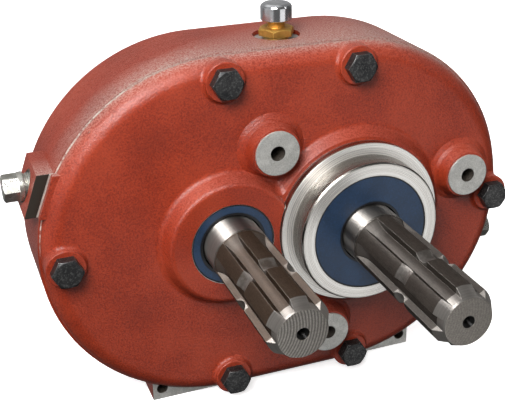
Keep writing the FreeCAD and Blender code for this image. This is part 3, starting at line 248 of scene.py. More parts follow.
class Finish:
    """A material under construction, with one short call for each kind of node."""

    def __init__(self, name):
        self.material = bpy.data.materials.new(name)
        self.material.use_nodes = True
        self.tree = self.material.node_tree
        self.tree.nodes.clear()
        output = self.tree.nodes.new("ShaderNodeOutputMaterial")
        self.shader = self.tree.nodes.new("ShaderNodeBsdfPrincipled")
        self.tree.links.new(self.shader.outputs[0], output.inputs[0])
        self.place = self.tree.nodes.new("ShaderNodeTexCoord").outputs["Object"]
        split = self.tree.nodes.new("ShaderNodeSeparateXYZ")
        self.put(split.inputs[0], self.place)
        self.x, self.y, self.z = split.outputs

    def put(self, socket, value):
        """Link a node to a socket, or set a plain value on it."""
        if isinstance(value, bpy.types.NodeSocket):
            self.tree.links.new(value, socket)
        elif hasattr(value, "__len__") and len(value) == 3 and len(socket.default_value) == 4:
            socket.default_value = (*value, 1.0)
        else:
            socket.default_value = value

    def sums(self, operation, a, b=0.0, clamp=False):
        """One step of arithmetic on two values."""
        node = self.tree.nodes.new("ShaderNodeMath")
        node.operation = operation
        node.use_clamp = clamp
        self.put(node.inputs[0], a)
        self.put(node.inputs[1], b)
        return node.outputs[0]

    def share(self, value, part):
        """Part of a value."""
        return self.sums("MULTIPLY", value, part)

    def mixture(self, *pairs):
        """Sum of some values, each times its weight."""
        parts = [self.share(value, weight) for value, weight in pairs]
        total = parts[0]
        for part in parts[1:]:
            total = self.sums("ADD", total, part)
        return total

    def apart(self, value, place):
        """How far a coordinate is from a place, to either side."""
        return self.sums("ABSOLUTE", self.sums("SUBTRACT", value, place))

    def blend(self, amount, low, high):
        """Colour between two others."""
        node = self.tree.nodes.new("ShaderNodeMix")
        node.data_type = "RGBA"
        self.put(node.inputs[0], amount)
        self.put(node.inputs[6], low)
        self.put(node.inputs[7], high)
        return node.outputs[2]

    def level(self, amount, low, high):
        """Value between two others."""
        node = self.tree.nodes.new("ShaderNodeMix")
        self.put(node.inputs[0], amount)
        self.put(node.inputs[2], low)
        self.put(node.inputs[3], high)
        return node.outputs[0]

    def spread(self, value, start, end, low=0.0, high=1.0):
        """Straight ramp of a value from start to end, held outside them."""
        node = self.tree.nodes.new("ShaderNodeMapRange")
        for socket, given in zip(node.inputs, (value, start, end, low, high)):
            self.put(socket, given)
        return node.outputs[0]

    def stretched(self, x, y, z):
        """Object coordinates, stretched along each axis."""
        node = self.tree.nodes.new("ShaderNodeMapping")
        self.put(node.inputs[0], self.place)
        node.inputs[3].default_value = (x, y, z)
        return node.outputs[0]

    def noise(self, size, detail=3.0, roughness=0.55, place=None):
        """Cloudy noise whose blobs have a size in metres."""
        node = self.tree.nodes.new("ShaderNodeTexNoise")
        self.put(node.inputs["Vector"], place or self.place)
        node.inputs["Scale"].default_value = 1.0 / size
        node.inputs["Detail"].default_value = detail
        node.inputs["Roughness"].default_value = roughness
        return node.outputs["Fac"]

    def cells(self, size):
        """Distance to the nearest of many scattered points, for pits."""
        node = self.tree.nodes.new("ShaderNodeTexVoronoi")
        self.put(node.inputs["Vector"], self.place)
        node.inputs["Scale"].default_value = 1.0 / size
        return node.outputs["Distance"]

    def away(self, point, axis):
        """Distance from a line along one axis through a point."""
        flat = self.tree.nodes.new("ShaderNodeVectorMath")
        flat.operation = "MULTIPLY"
        self.put(flat.inputs[0], self.place)
        keep = [0.0 if name == axis else 1.0 for name in "xyz"]
        flat.inputs[1].default_value = keep
        gap = self.tree.nodes.new("ShaderNodeVectorMath")
        gap.operation = "DISTANCE"
        self.put(gap.inputs[0], flat.outputs[0])
        gap.inputs[1].default_value = [a * b for a, b in zip(point, keep)]
        return gap.outputs["Value"]

    def below(self, value, limit, soft=0.1 * MM):
        """One where a value is under a limit, with a narrow soft edge."""
        return self.spread(value, limit - soft, limit + soft, 1.0, 0.0)

    def above(self, value, limit, soft=0.1 * MM):
        """One where a value is over a limit, with a narrow soft edge."""
        return self.spread(value, limit - soft, limit + soft, 0.0, 1.0)

    def both(self, a, b):
        """Where two masks hold at once."""
        return self.sums("MULTIPLY", a, b)

    def either(self, a, b):
        """Where one mask or the other holds."""
        return self.sums("MAXIMUM", a, b)

    def rounded(self, radius):
        """Normal with the edges rounded to a radius."""
        node = self.tree.nodes.new("ShaderNodeBevel")
        node.samples = 6
        node.inputs[0].default_value = radius
        return node.outputs[0]

    def true_normal(self):
        """Normal of the surface itself."""
        return self.tree.nodes.new("ShaderNodeNewGeometry").outputs["Normal"]

    def edges(self, radius, low=0.02, high=0.16):
        """Mask of the edges: how far the normal turns when edges are rounded to a radius."""
        turn = self.tree.nodes.new("ShaderNodeVectorMath")
        turn.operation = "DOT_PRODUCT"
        self.put(turn.inputs[0], self.rounded(radius))
        self.put(turn.inputs[1], self.true_normal())
        return self.spread(turn.outputs["Value"], 1.0 - low, 1.0 - high)

    def upward(self, low, high):
        """Mask of the faces that look up."""
        split = self.tree.nodes.new("ShaderNodeSeparateXYZ")
        self.put(split.inputs[0], self.true_normal())
        return self.spread(split.outputs[2], low, high)

    def bump(self, height, depth, strength=1.0, normal=None):
        """Relief from a height map, with its depth in metres."""
        node = self.tree.nodes.new("ShaderNodeBump")
        node.inputs["Strength"].default_value = strength
        node.inputs["Distance"].default_value = depth
        self.put(node.inputs["Height"], height)
        if normal is not None:
            self.put(node.inputs["Normal"], normal)
        return node.outputs[0]

    def coat(self, **values):
        """Set or link the named sockets of the surface."""
        for name, value in values.items():
            self.put(self.shader.inputs[name.replace("_", " ").title().replace("Ior", "IOR")], value)
        return self.material


def wear(material, *names):
    """Give CAD nodes a material in place of their own."""
    for name in names:
        mesh = NODES[name].data
        mesh.materials.clear()
        mesh.materials.append(material)


def dust_and_sheen_mask(finish, grit):
    """Where dust lies and where sheen is painted: on faces that look up, less of it towards the back and on
    the cover, and in the joint along the top. The pale colour there is partly dust and partly painted sheen."""
    top_dust_and_sheen = finish.both(finish.upward(0.25, 0.95), finish.spread(grit, 0.43, 0.6, 0.12, 0.95))
    depth = finish.spread(finish.x, -60 * MM, 60 * MM, 24 * MM, 75 * MM)
    # Painted sheen: strongest at the joint and fading towards the back.
    back = finish.spread(finish.y, JOINT_Y, finish.sums("ADD", depth, JOINT_Y), 1.0, 0.12)
    front = finish.spread(finish.y, JOINT_Y - 8 * MM, JOINT_Y - 1 * MM, 0.12, 0.9)
    top_dust_and_sheen = finish.both(finish.both(top_dust_and_sheen, back), front)
    seam = finish.below(finish.apart(finish.y, JOINT_Y), 0.9 * MM, 0.3 * MM)
    seam = finish.both(seam, finish.above(finish.z, AXIS_Z + 70 * MM, 30 * MM))
    return finish.either(top_dust_and_sheen, finish.both(seam, finish.spread(grit, 0.43, 0.6, 0.3, 0.85)))


def red_paint(finish, paint, dulling):
    """Colour, roughness and relief of painted sand-cast iron: fine grit, softer lumps, faded high spots, and
    dust with painted sheen on faces that look up, all of it mixed towards a duller red by a given share."""
    grit = finish.noise(paint.grain, 4.0, 0.65)
    lumps = finish.noise(paint.grain * 5, 2.0, 0.5)
    cloud = finish.noise(38 * MM, 2.0, 0.5)
    pits = finish.cells(paint.grain * 1.3)
    colour = tuple(paint.red)
    for amount, other in (
            (finish.spread(grit, 0.36, 0.49, 0.75, 0.0), paint.deep),
            (finish.spread(grit, 0.52, 0.68, 0.0, 0.55), paint.faded),
            (finish.spread(cloud, 0.45, 0.7, 0.0, 0.26), paint.faded),
            (finish.spread(cloud, 0.28, 0.48, 0.36, 0.0), paint.deep)):
        colour = finish.blend(amount, colour, tuple(other))
    # Mixes in a darker, duller red by the given share; the casing takes it.
    if dulling:
        colour = finish.blend(dulling, colour, DULL_RED)
    # Dust and painted sheen on faces that look up, and near the joint.
    colour = finish.blend(dust_and_sheen_mask(finish, grit), colour, tuple(paint.dust_and_sheen))
    rough = finish.spread(grit, 0.3, 0.7, paint.gloss + 0.14, paint.gloss - 0.04)
    return colour, rough, finish.mixture((grit, 0.7), (lumps, 0.55), (pits, 0.25))


def lathe_rings(finish, reach):
    """Fine rings round a shaft axis, as a lathe leaves them: noise read along the radius and the axis."""
    ring = finish.tree.nodes.new("ShaderNodeCombineXYZ")
    finish.put(ring.inputs[0], reach)
    finish.put(ring.inputs[1], finish.y)
    return finish.noise(0.7 * MM, 2.0, 0.6, ring.outputs[0])


def casting(name, paint, milled, dark, turned=None, edge=None, mirror=0.4, dulling=0.0):
    """Painted casting with bare machined faces where a mask holds, a dark mask for painted shade in the holes
    and the dark front of the plug pad, turned faces round the pilot whose walls are painted darker as shade,
    and a pale line where an edge mask holds."""
    finish = Finish(name)
    colour, rough, height = red_paint(finish, paint, dulling)
    bare = milled(finish)
    speck = finish.noise(0.7 * MM, 3.0, 0.65)
    cloud = finish.noise(5 * MM, 2.0, 0.5)
    iron = finish.blend(finish.spread(speck, 0.3, 0.7, 0.0, 0.7), tuple(paint.milled), DULL_IRON)
    iron = finish.blend(finish.spread(cloud, 0.45, 0.75, 0.0, 0.35), iron, PALE_IRON)
    skin = finish.share(speck, 0.15)
    shine = finish.spread(speck, 0.3, 0.7, 0.38, 0.55)
    polish = 0.65
    if turned is not None:
        zone, walls = turned(finish)
        rings = lathe_rings(finish, finish.away(MAIN_AXIS, "y"))
        lathe = finish.blend(finish.spread(rings, 0.35, 0.65), LATHE_LIGHT, LATHE_DARK)
        # Walls of the pilot painted darker: painted shade.
        lathe = finish.blend(finish.share(walls, 0.7), lathe, WALL_SHADE)
        iron = finish.blend(zone, iron, lathe)
        skin = finish.level(zone, skin, finish.share(rings, 0.5))
        shine = finish.level(zone, shine, finish.spread(rings, 0.3, 0.7, 0.2, 0.32))
        polish = finish.spread(walls, 0.0, 1.0, 0.55, 1.0)
    worn = finish.both(finish.edges(0.7 * MM, 0.05, 0.3), finish.spread(finish.noise(2.2 * MM), 0.42, 0.62))
    colour = finish.blend(finish.share(worn, 0.5), colour, tuple(paint.faded))
    colour = finish.blend(bare, colour, iron)
    if edge is not None:
        colour = finish.blend(edge(finish), colour, tuple(paint.gasket))
    # Painted shade in the holes, and the dark front of the plug pad.
    colour = finish.blend(dark(finish), colour, tuple(paint.hole_shade_and_dark_pad))
    relief = finish.bump(finish.level(bare, height, skin), 0.5 * MM, 0.75, finish.rounded(0.5 * MM))
    return finish.coat(base_color=colour, roughness=finish.level(bare, rough, shine),
                       metallic=finish.share(bare, polish), normal=relief, specular_ior_level=mirror)


def steel(name, colour, dark, rough=0.3, grain=0.6 * MM, relief=0.02 * MM, metallic=1.0, edge=None,
          radius=0.4 * MM, speck=0.0):
    """Plain metal piece: mottled colour and roughness, fine relief, light specks and lighter edges."""
    finish = Finish(name)
    mottle = finish.noise(7 * MM, 3.0, 0.6)
    fine = finish.noise(grain, 3.0, 0.6)
    light = edge or tuple(min(1.0, c * 1.6 + 0.03) for c in colour)
    shade = finish.blend(finish.spread(mottle, 0.35, 0.68), tuple(colour), dark)
    rubbed = finish.both(finish.edges(radius), finish.spread(finish.noise(1.4 * MM), 0.35, 0.6, 0.25, 1.0))
    shade = finish.blend(rubbed, shade, light)
    if speck:
        shade = finish.blend(finish.spread(fine, 0.5, 0.66, 0.0, speck), shade, light)
    gloss = finish.spread(finish.sums("ADD", fine, mottle), 0.7, 1.3, rough - 0.06, rough + 0.12)
    return finish.coat(base_color=shade, roughness=gloss, metallic=metallic,
                       normal=finish.bump(fine, relief, 0.7, finish.rounded(radius)))


def rubbed_splines(finish, reach, end, spline_start, groove, patches):
    """Where the splines are bright: patches of the locking groove, the bevelled tip and a little of the
    runout."""
    notch = finish.both(finish.below(reach, GROOVE_TOP, 0.05 * MM), finish.above(reach, GROOVE_LOW))
    notch = finish.both(finish.below(finish.apart(finish.y, groove), GROOVE_HALF), notch)
    notch = finish.both(notch, finish.spread(patches, 0.38, 0.62, 0.1, 0.55))
    tip = finish.both(finish.below(finish.y, end + TIP_LENGTH), finish.above(reach, TIP_RADIUS))
    runout = finish.both(finish.above(finish.y, spline_start - RUNOUT_LENGTH, 3 * MM),
                         finish.above(reach, RUNOUT_LOW, 0.4 * MM))
    runout = finish.both(runout, finish.below(reach, RUNOUT_TOP, 0.2 * MM))
    return finish.either(finish.either(notch, finish.share(tip, 0.62)), finish.share(runout, 0.12))


def shaft(name, tones, axis, end, spline_start, groove, warmth=(1.0, 1.0, 1.0), marks=1.0):
    """Splined shaft: bright ground journal, darker splines with faint drawn lines, and an end face whose
    saw marks are arcs round a point beside the shaft."""
    finish = Finish(name)
    reach = finish.away(axis, "y")
    rings = lathe_rings(finish, reach)
    along = finish.noise(0.5 * MM, 3.0, 0.6, finish.stretched(1.0, 0.12, 1.0))
    grit = finish.noise(0.8 * MM, 4.0, 0.65)
    patches = finish.noise(9 * MM, 3.0, 0.6)
    toothed = finish.below(finish.y, spline_start + 0.5 * MM)
    floor = finish.both(toothed, finish.below(reach, SPLINE_FLOOR, 0.5 * MM))
    worked = tuple(a * b for a, b in zip(tones.spline, warmth))
    drawn = finish.mixture((along, 0.5), (grit, 0.5))
    brown = finish.blend(finish.spread(drawn, 0.38, 0.62), times(worked, 1.25), times(worked, 0.62))
    brown = finish.blend(finish.spread(patches, 0.5, 0.75, 0.0, 0.35), brown, times(worked, 1.5))
    # Gap floors between the splines painted darker: painted shade.
    brown = finish.blend(finish.share(floor, 0.22), brown, times(worked, 0.45))
    shiny = rubbed_splines(finish, reach, end, spline_start, groove, patches)
    dull = finish.sums("SUBTRACT", toothed, finish.both(shiny, toothed), True)
    bright = finish.blend(finish.spread(rings, 0.3, 0.7, 0.2, 0.8), tuple(tones.ground), GROUND_DARK)
    colour = finish.blend(dull, bright, brown)
    face = finish.below(finish.y, end + 0.05 * MM, 0.03 * MM)
    sweep = finish.away((axis[0] + SAW_X, 0, axis[2] + SAW_Z), "y")
    arcs = finish.sums("SINE", finish.share(sweep, 2 * math.pi / SAW_PITCH))
    fresh = 1.0 - 0.45 * marks
    sawn = finish.blend(finish.spread(grit, 0.35, 0.65), times(END_LIGHT, fresh), times(END_DARK, fresh))
    sawn = finish.blend(finish.share(finish.spread(arcs, -0.6, 0.9), 0.75 * marks), sawn, SAW_MARK)
    colour = finish.blend(face, colour, sawn)
    # Centre hole painted black: painted shade.
    hole = finish.both(finish.below(reach, CENTRE_HOLE), finish.above(finish.y, end + 0.15 * MM))
    hole = finish.both(hole, finish.below(finish.y, end + CENTRE_DEPTH))
    colour = finish.blend(hole, colour, HOLE_SHADE)
    rubbed = finish.both(finish.edges(0.35 * MM), finish.spread(finish.noise(2 * MM), 0.3, 0.55, 0.3, 1.0))
    colour = finish.blend(finish.share(rubbed, 0.45), colour, RUBBED_EDGE)
    keen = finish.spread(toothed, 0.0, 1.0, 0.48, 0.34)
    keen = finish.sums("ADD", keen, finish.spread(rings, 0.3, 0.7, 0.0, 0.06))
    rough = finish.level(dull, keen, finish.spread(grit, 0.3, 0.7, 0.5, 0.64))
    skin = finish.level(dull, finish.share(rings, 0.03), drawn)
    relief = finish.sums("ADD", skin, finish.share(finish.both(arcs, face), 0.4 * marks))
    round_axis = finish.tree.nodes.new("ShaderNodeTangent")
    round_axis.direction_type = "RADIAL"
    round_axis.axis = "Y"
    return finish.coat(base_color=colour, roughness=rough, metallic=finish.spread(dull, 0.0, 1.0, 1.0, 0.5),
                       anisotropic=1.0, anisotropic_rotation=0.25,
                       tangent=finish.blend(face, round_axis.outputs[0], (0.9, 0.0, 0.4)),
                       normal=finish.bump(relief, 0.06 * MM, 0.6, finish.rounded(0.3 * MM)))


def seal_face(name, tones, axis, inner, outer):
    """Oil seal: blue face between a black rubber lip and a black outer edge, told apart by radius."""
    finish = Finish(name)
    reach = finish.away(axis, "y")
    fine = finish.noise(1.0 * MM, 3.0, 0.6)
    blue = tuple(tones.seal)
    for amount, factor in (
            (finish.spread(finish.noise(9 * MM), 0.35, 0.7), 0.72),
            (finish.spread(fine, 0.52, 0.7, 0.0, 0.3), 2.0),
            (finish.spread(fine, 0.3, 0.48, 0.45, 0.0), 0.45)):
        blue = finish.blend(amount, blue, times(tones.seal, factor))
    zone = finish.both(finish.above(reach, inner, 0.15 * MM), finish.below(reach, outer, 0.15 * MM))
    step = finish.mixture((fine, 0.15), (zone, 0.6))
    return finish.coat(base_color=finish.blend(zone, tuple(tones.rubber), blue),
                       roughness=finish.spread(fine, 0.3, 0.7, 0.36, 0.55),
                       normal=finish.bump(step, 0.25 * MM, 0.7))


def gasket_paper(paint):
    """Sealing sheet: pale fibres that run along the joint, red overspray, and dust with painted sheen on
    faces that look up.
    """
    sheet = Finish("gasket_paper")
    fibre = sheet.noise(0.4 * MM, 3.0, 0.6, sheet.stretched(0.2, 1.0, 0.2))
    overspray = sheet.spread(sheet.noise(2.5 * MM), 0.38, 0.6, 0.35, 0.95)
    colour = sheet.blend(sheet.spread(fibre, 0.35, 0.65), tuple(paint.gasket), GASKET_DARK)
    colour = sheet.blend(overspray, colour, tuple(paint.red))
    # Dust and painted sheen on faces that look up.
    colour = sheet.blend(sheet.share(sheet.upward(0.2, 0.9), 0.55), colour, tuple(paint.dust_and_sheen))
    return sheet.coat(base_color=colour, roughness=0.85, normal=sheet.bump(fibre, 0.05 * MM))


def pilot(finish):
    """Turned zone round the main shaft, and the part of it that is wall and not face."""
    zone = finish.below(finish.away(MAIN_AXIS, "y"), PILOT_RADIUS)
    zone = finish.both(zone, finish.below(finish.y, PILOT_ROOT_Y))
    seat = finish.below(finish.apart(finish.y, PILOT_SEAT_Y), 0.15 * MM)
    faces = finish.either(finish.below(finish.y, SPIGOT_END_Y), seat)
    return zone, finish.sums("SUBTRACT", zone, faces, True)


def cover_milled(finish):
    """Bare faces of the cover: the pilot, the mounting bosses, the seal bores and the joint face."""
    bosses = finish.below(finish.y, BOSS_FACE_Y)
    bores = finish.either(finish.below(finish.away(MAIN_AXIS, "y"), MAIN_BORE),
                          finish.below(finish.away(PINION_AXIS, "y"), PINION_BORE))
    back = finish.above(finish.y, COVER_BACK_Y)
    return finish.either(finish.either(pilot(finish)[0], bosses), finish.either(bores, back))


def mount_hole_shade(finish):
    """Tapped holes in the three mounting bosses, painted dark as shade."""
    holes = 0.0
    for degrees in MOUNT_DEGREES:
        turn = math.radians(degrees)
        spot = (MAIN_X + MOUNT_CIRCLE * math.cos(turn), 0, AXIS_Z + MOUNT_CIRCLE * math.sin(turn))
        holes = finish.either(holes, finish.below(finish.away(spot, "y"), MOUNT_HOLE))
    return holes


def left_outside(finish):
    """What stands out of the casing's outline on the left, which is the plug's pad."""
    return finish.both(finish.above(finish.away(PINION_AXIS, "y"), OUTLINE), finish.below(finish.x, PINION_X))


def right_outside(finish):
    """What stands out of the casing's outline on the right."""
    return finish.both(finish.above(finish.away((OUTLINE_RIGHT_X, 0, AXIS_Z), "y"), OUTLINE),
                       finish.above(finish.x, OUTLINE_RIGHT_X))


def beyond_lug(finish):
    """Part of the left pad that lies past the lug and its seep, measured from the pinion axis along the
    pad's middle line."""
    across = finish.share(finish.sums("SUBTRACT", PINION_X, finish.x), math.cos(PAD_SLOPE))
    rise = finish.share(finish.sums("SUBTRACT", finish.z, AXIS_Z), math.sin(PAD_SLOPE))
    return finish.above(finish.sums("ADD", across, rise), SEEP_REACH, 0.05 * MM)


def casing_milled(finish):
    """Bare faces of the casing: front of the pads and base, underside, spot face and plug seats."""
    outside = finish.either(left_outside(finish), right_outside(finish))
    outside = finish.either(outside, finish.below(finish.z, BASE_EDGE_Z))
    front = finish.both(finish.below(finish.y, CASING_FRONT_Y), outside)
    under = finish.below(finish.z, BASE_FACE_Z)
    spot = finish.both(finish.below(finish.z, SPOT_FLOOR_Z), finish.above(finish.z, SPOT_LOW_Z))
    spot = finish.both(finish.below(finish.away(middle("breather_cap"), "z"), SPOT_RADIUS), spot)
    left = finish.both(finish.below(finish.away(middle("left_plug"), "x"), PLUG_SEAT),
                       finish.below(finish.x, -PLUG_SIDE_X))
    right = finish.both(finish.below(finish.away(middle("right_plug"), "x"), PLUG_SEAT),
                        finish.above(finish.x, PLUG_SIDE_X))
    return finish.either(finish.either(finish.either(front, under), finish.either(left, right)), spot)


def casing_pale_line(finish):
    """Pale broken line in the gasket colour on the left of the joint, and across the pad up to its lug."""
    rubbed = finish.spread(finish.noise(1.6 * MM), 0.4, 0.58, 0.15, 0.95)
    line = finish.both(rubbed, finish.below(finish.x, -78 * MM, 30 * MM))
    line = finish.both(finish.below(finish.y, CASING_FRONT_Y), line)
    line = finish.both(line, finish.above(finish.z, AXIS_Z + 14 * MM, 12 * MM))
    gap = finish.away(PINION_AXIS, "y")
    pad = finish.both(finish.above(gap, PAD_LINE), finish.sums("SUBTRACT", 1.0, beyond_lug(finish)))
    return finish.both(line, finish.either(finish.below(gap, JOINT_LINE), pad))


def casing_dark_and_hole_shade(finish):
    """Dark front of the left pad, and painted shade in the holes in the front of the base."""
    pad = finish.both(finish.below(finish.y, CASING_FRONT_Y), finish.above(finish.z, PAD_LOW_Z))
    dark = finish.both(finish.both(pad, left_outside(finish)), beyond_lug(finish))
    for x in (-BASE_HOLE_X, BASE_HOLE_X):
        dark = finish.either(dark, finish.below(finish.away((x, 0, BASE_HOLE_Z), "y"), BASE_HOLE))
    return dark


class GEARBOX_OT_castings(bpy.types.Operator):
    """Paint the casing and the cover, bare their machined faces, and colour the joint gasket"""

    bl_idname = "gearbox.castings"
    bl_label = "Casing, cover and gasket"

    def execute(self, context):
        paint = context.scene.gearbox_paint
        cover = casting("cover_paint", paint, cover_milled, mount_hole_shade, turned=pilot)
        casing = casting("casing_paint", paint, casing_milled, casing_dark_and_hole_shade, edge=casing_pale_line, mirror=0.13,
                         dulling=0.4)
        wear(cover, "front_cover")
        wear(casing, "rear_casing")
        wear(gasket_paper(paint), "joint_gasket")
        return {"FINISHED"}


class GEARBOX_OT_fasteners(bpy.types.Operator):
    """Blacken the cover bolts and circlips, and finish the dowel pins and side plugs"""

    bl_idname = "gearbox.fasteners"
    bl_label = "Bolts, clips, pins and plugs"

    def execute(self, context):
        tones = context.scene.gearbox_metal
        bolts = steel("black_bolts", tones.black, tone(34, 35, 37), 0.38, 1.1 * MM, 0.07 * MM, 0.7,
                      edge=tone(165, 164, 162), radius=0.5 * MM, speck=0.18)
        clips = steel("spring_clip_steel", tones.black, tone(60, 58, 56), 0.36)
        pins = steel("pin_steel", tones.ground, tone(150, 148, 146), 0.25)
        zinc = steel("zinc_plate", tones.zinc, tone(150, 148, 138), 0.28, 0.8 * MM, 0.03 * MM, 0.85)
        wear(bolts, "cover_bolts")
        wear(clips, "shaft_circlip", "bore_circlip")
        wear(pins, "dowel_pins")
        wear(zinc, "left_plug", "right_plug")
        return {"FINISHED"}


class GEARBOX_OT_shafts(bpy.types.Operator):
    """Finish the two splined shafts, the gear wheel, its key and its spacer"""

    bl_idname = "gearbox.shafts"
    bl_label = "Shafts and gears"

    def execute(self, context):
        tones = context.scene.gearbox_metal
        main_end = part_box("main_shaft")[0].y
        pinion_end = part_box("pinion_shaft")[0].y
        main_steel = shaft("main_shaft_steel", tones, MAIN_AXIS, main_end, main_end + 91.3 * MM,
                           main_end + 41 * MM, marks=0.2)
        pinion_steel = shaft("pinion_shaft_steel", tones, PINION_AXIS, pinion_end, pinion_end + 83 * MM,
                             pinion_end + 44 * MM, warmth=(1.08, 0.84, 0.66))
        gear = steel("gear_steel", tones.gear, tone(104, 100, 96), 0.34, 0.7 * MM, 0.04 * MM)
        wear(main_steel, "main_shaft")
        wear(pinion_steel, "pinion_shaft")
        wear(gear, "gear_wheel", "gear_key", "gear_spacer")
        return {"FINISHED"}


class GEARBOX_OT_bearings(bpy.types.Operator):
    """Finish the rings, balls and cages of the four bearings"""

    bl_idname = "gearbox.bearings"
    bl_label = "Bearings"

    def execute(self, context):
        tones = context.scene.gearbox_metal
        finishes = {
            "_ring": steel("bearing_rings", tones.bearing, tone(160, 160, 160), 0.2),
            "_balls": steel("bearing_balls", tones.bearing, tone(186, 186, 186), 0.1, radius=0.1 * MM),
            "_cage": steel("pressed_cages", tones.cage, tone(120, 112, 96), 0.36),
        }
        for ending, material in finishes.items():
            wear(material, *(name for name in NODES if name.endswith(ending)))
        return {"FINISHED"}


class GEARBOX_OT_seals(bpy.types.Operator):
    """Colour the two oil seals and their garter springs"""

    bl_idname = "gearbox.seals"
    bl_label = "Oil seals"

    def execute(self, context):
        tones = context.scene.gearbox_metal
        wear(seal_face("main_seal_rubber", tones, MAIN_AXIS, 19.8 * MM, 35.2 * MM), "main_oil_seal")
        wear(seal_face("pinion_seal_rubber", tones, PINION_AXIS, 20.0 * MM, 24.2 * MM), "pinion_oil_seal")
        spring = steel("garter_spring_steel", tones.ground, tone(120, 118, 116), 0.3)
        wear(spring, "main_oil_seal_spring", "pinion_oil_seal_spring")
        return {"FINISHED"}


class GEARBOX_OT_breather(bpy.types.Operator):
    """Finish the brass breather body and its chromed cap"""

    bl_idname = "gearbox.breather"
    bl_label = "Breather"

    def execute(self, context):
        tones = context.scene.gearbox_metal
        brass = steel("brass", tones.brass, tone(184, 138, 66), 0.5, 0.7 * MM)
        chrome = steel("chrome", tones.chrome, tone(186, 187, 190), 0.1, 1.2 * MM, 0.006 * MM, 0.92)
        wear(brass, "breather_body")
        wear(chrome, "breather_cap")
        return {"FINISHED"}


def ring_faces(rows, sides):
    """Four-sided faces of a grid of rows that closes on itself sideways."""
    corner = np.arange((rows - 1) * sides).reshape(rows - 1, sides)
    beside = np.roll(corner, -1, 1)
    return np.stack([corner, beside, beside + sides, corner + sides], -1).reshape(-1, 4)


def threaded_sleeve(name, core, depth, pitch, length, place):
    """Closed threaded sleeve. At angle a and height s its radius is the core plus a triangle wave of
    (s / pitch - a / turn) times the depth, and the two end rows shrink to the axis."""
    around = np.linspace(0.0, 2 * math.pi, THREAD_SIDES, endpoint=False)
    rows = np.linspace(0.0, length, int(THREAD_ROWS * length / pitch))
    angle, height = np.meshgrid(around, rows)
    phase = np.mod(height / pitch - angle / (2 * math.pi), 1.0)
    radius = core + depth * (1.0 - np.abs(2.0 * phase - 1.0))
    radius = np.pad(radius, ((1, 1), (0, 0)))
    height = np.pad(height, ((1, 1), (0, 0)), "edge")
    angle = np.pad(angle, ((1, 1), (0, 0)), "edge")
    points = np.stack([radius * np.cos(angle), radius * np.sin(angle), height], -1).reshape(-1, 3)
    placed = points @ np.array(place.to_3x3()).T + np.array(place.translation)
    mesh = bpy.data.meshes.new(name)
    mesh.from_pydata(placed.tolist(), [], ring_faces(len(rows) + 2, THREAD_SIDES).tolist())
    work = bmesh.new()
    work.from_mesh(mesh)
    bmesh.ops.remove_doubles(work, verts=work.verts, dist=1e-7)
    bmesh.ops.recalc_face_normals(work, faces=work.faces)
    work.to_mesh(mesh)
    work.free()
    piece = bpy.data.objects.new(name, mesh)
    bpy.context.scene.collection.objects.link(piece)
    return piece


class GEARBOX_OT_threads(bpy.types.Operator):
    """Cut the threads that show below the side plugs and below the breather"""

    bl_idname = "gearbox.threads"
    bl_label = "Threads in sight"

    def execute(self, context):
        sizes = context.scene.gearbox_threads
        for side, name in ((-1, "left_plug"), (1, "right_plug")):
            low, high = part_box(name)
            start = middle(name)
            start.x = high.x - PLUG_THREAD_START if side > 0 else low.x + PLUG_THREAD_START
            place = Matrix.Translation(start) @ Matrix.Rotation(side * math.pi / 2, 4, "Y")
            piece = threaded_sleeve(name + "_thread", PLUG_THREAD_CORE, sizes.depth, sizes.plug_pitch,
                                    PLUG_THREAD_LENGTH, place)
            piece.data.materials.append(bpy.data.materials["zinc_plate"])
            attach(piece, "housing")
        start = middle("breather_body")
        start.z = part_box("breather_body")[0].z + BREATHER_THREAD_START
        piece = threaded_sleeve("breather_thread", BREATHER_THREAD_CORE, sizes.depth, sizes.breather_pitch,
                                BREATHER_THREAD_LENGTH, Matrix.Translation(start))
        piece.data.materials.append(bpy.data.materials["brass"])
        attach(piece, "housing")
        return {"FINISHED"}


def studio_sweep(name):
    """Pale floor that sweeps up into a wall far away: a profile of radius and height turned once about Z."""
    profile = np.array(FLOOR_PROFILE)
    around = np.linspace(0.0, 2 * math.pi, FLOOR_SIDES, endpoint=False)
    radius, angle = np.meshgrid(profile[:, 0], around, indexing="ij")
    height = np.repeat(profile[:, 1:], FLOOR_SIDES, 1)
    points = np.stack([radius * np.cos(angle), radius * np.sin(angle), height], -1).reshape(-1, 3)
    faces = ring_faces(len(profile), FLOOR_SIDES)[:, ::-1]
    mesh = bpy.data.meshes.new(name)
    mesh.from_pydata(points.tolist(), [], faces.tolist() + [list(range(FLOOR_SIDES))])
    mesh.polygons.foreach_set("use_smooth", [True] * len(mesh.polygons))
    floor = bpy.data.objects.new(name, mesh)
    bpy.context.scene.collection.objects.link(floor)
    return floor


def pale_paper(studio):
    """Floor material: almost white, with a faint cloud, and glowing more the farther it is from the part."""
    pale = Finish("pale_floor")
    cloud = pale.spread(pale.noise(0.6, 2.0, 0.5), 0.3, 0.7)
    shade = pale.blend(cloud, tuple(studio.floor), tone(252, 252, 252))
    glow = pale.spread(pale.away((0, 0, 0), "z"), 0.4, 2.5, 0.7, 1.0)
    return pale.coat(base_color=shade, roughness=0.8, specular_ior_level=0.1, emission_color=(1, 1, 1),
                     emission_strength=glow)


def softbox(name, place, aim, size, power, leave_out=()):
    """Rectangular light that looks at a point, is itself unseen, and may leave out a kind of light."""
    light = bpy.data.lights.new(name, "AREA")
    light.shape = "RECTANGLE"
    light.size, light.size_y = size
    light.energy = power
    lamp = bpy.data.objects.new(name, light)
    lamp.location = place
    lamp.rotation_euler = (Vector(aim) - Vector(place)).to_track_quat("-Z", "Y").to_euler()
    for kind in ("camera", *leave_out):
        setattr(lamp, "visible_" + kind, False)
    bpy.context.scene.collection.objects.link(lamp)


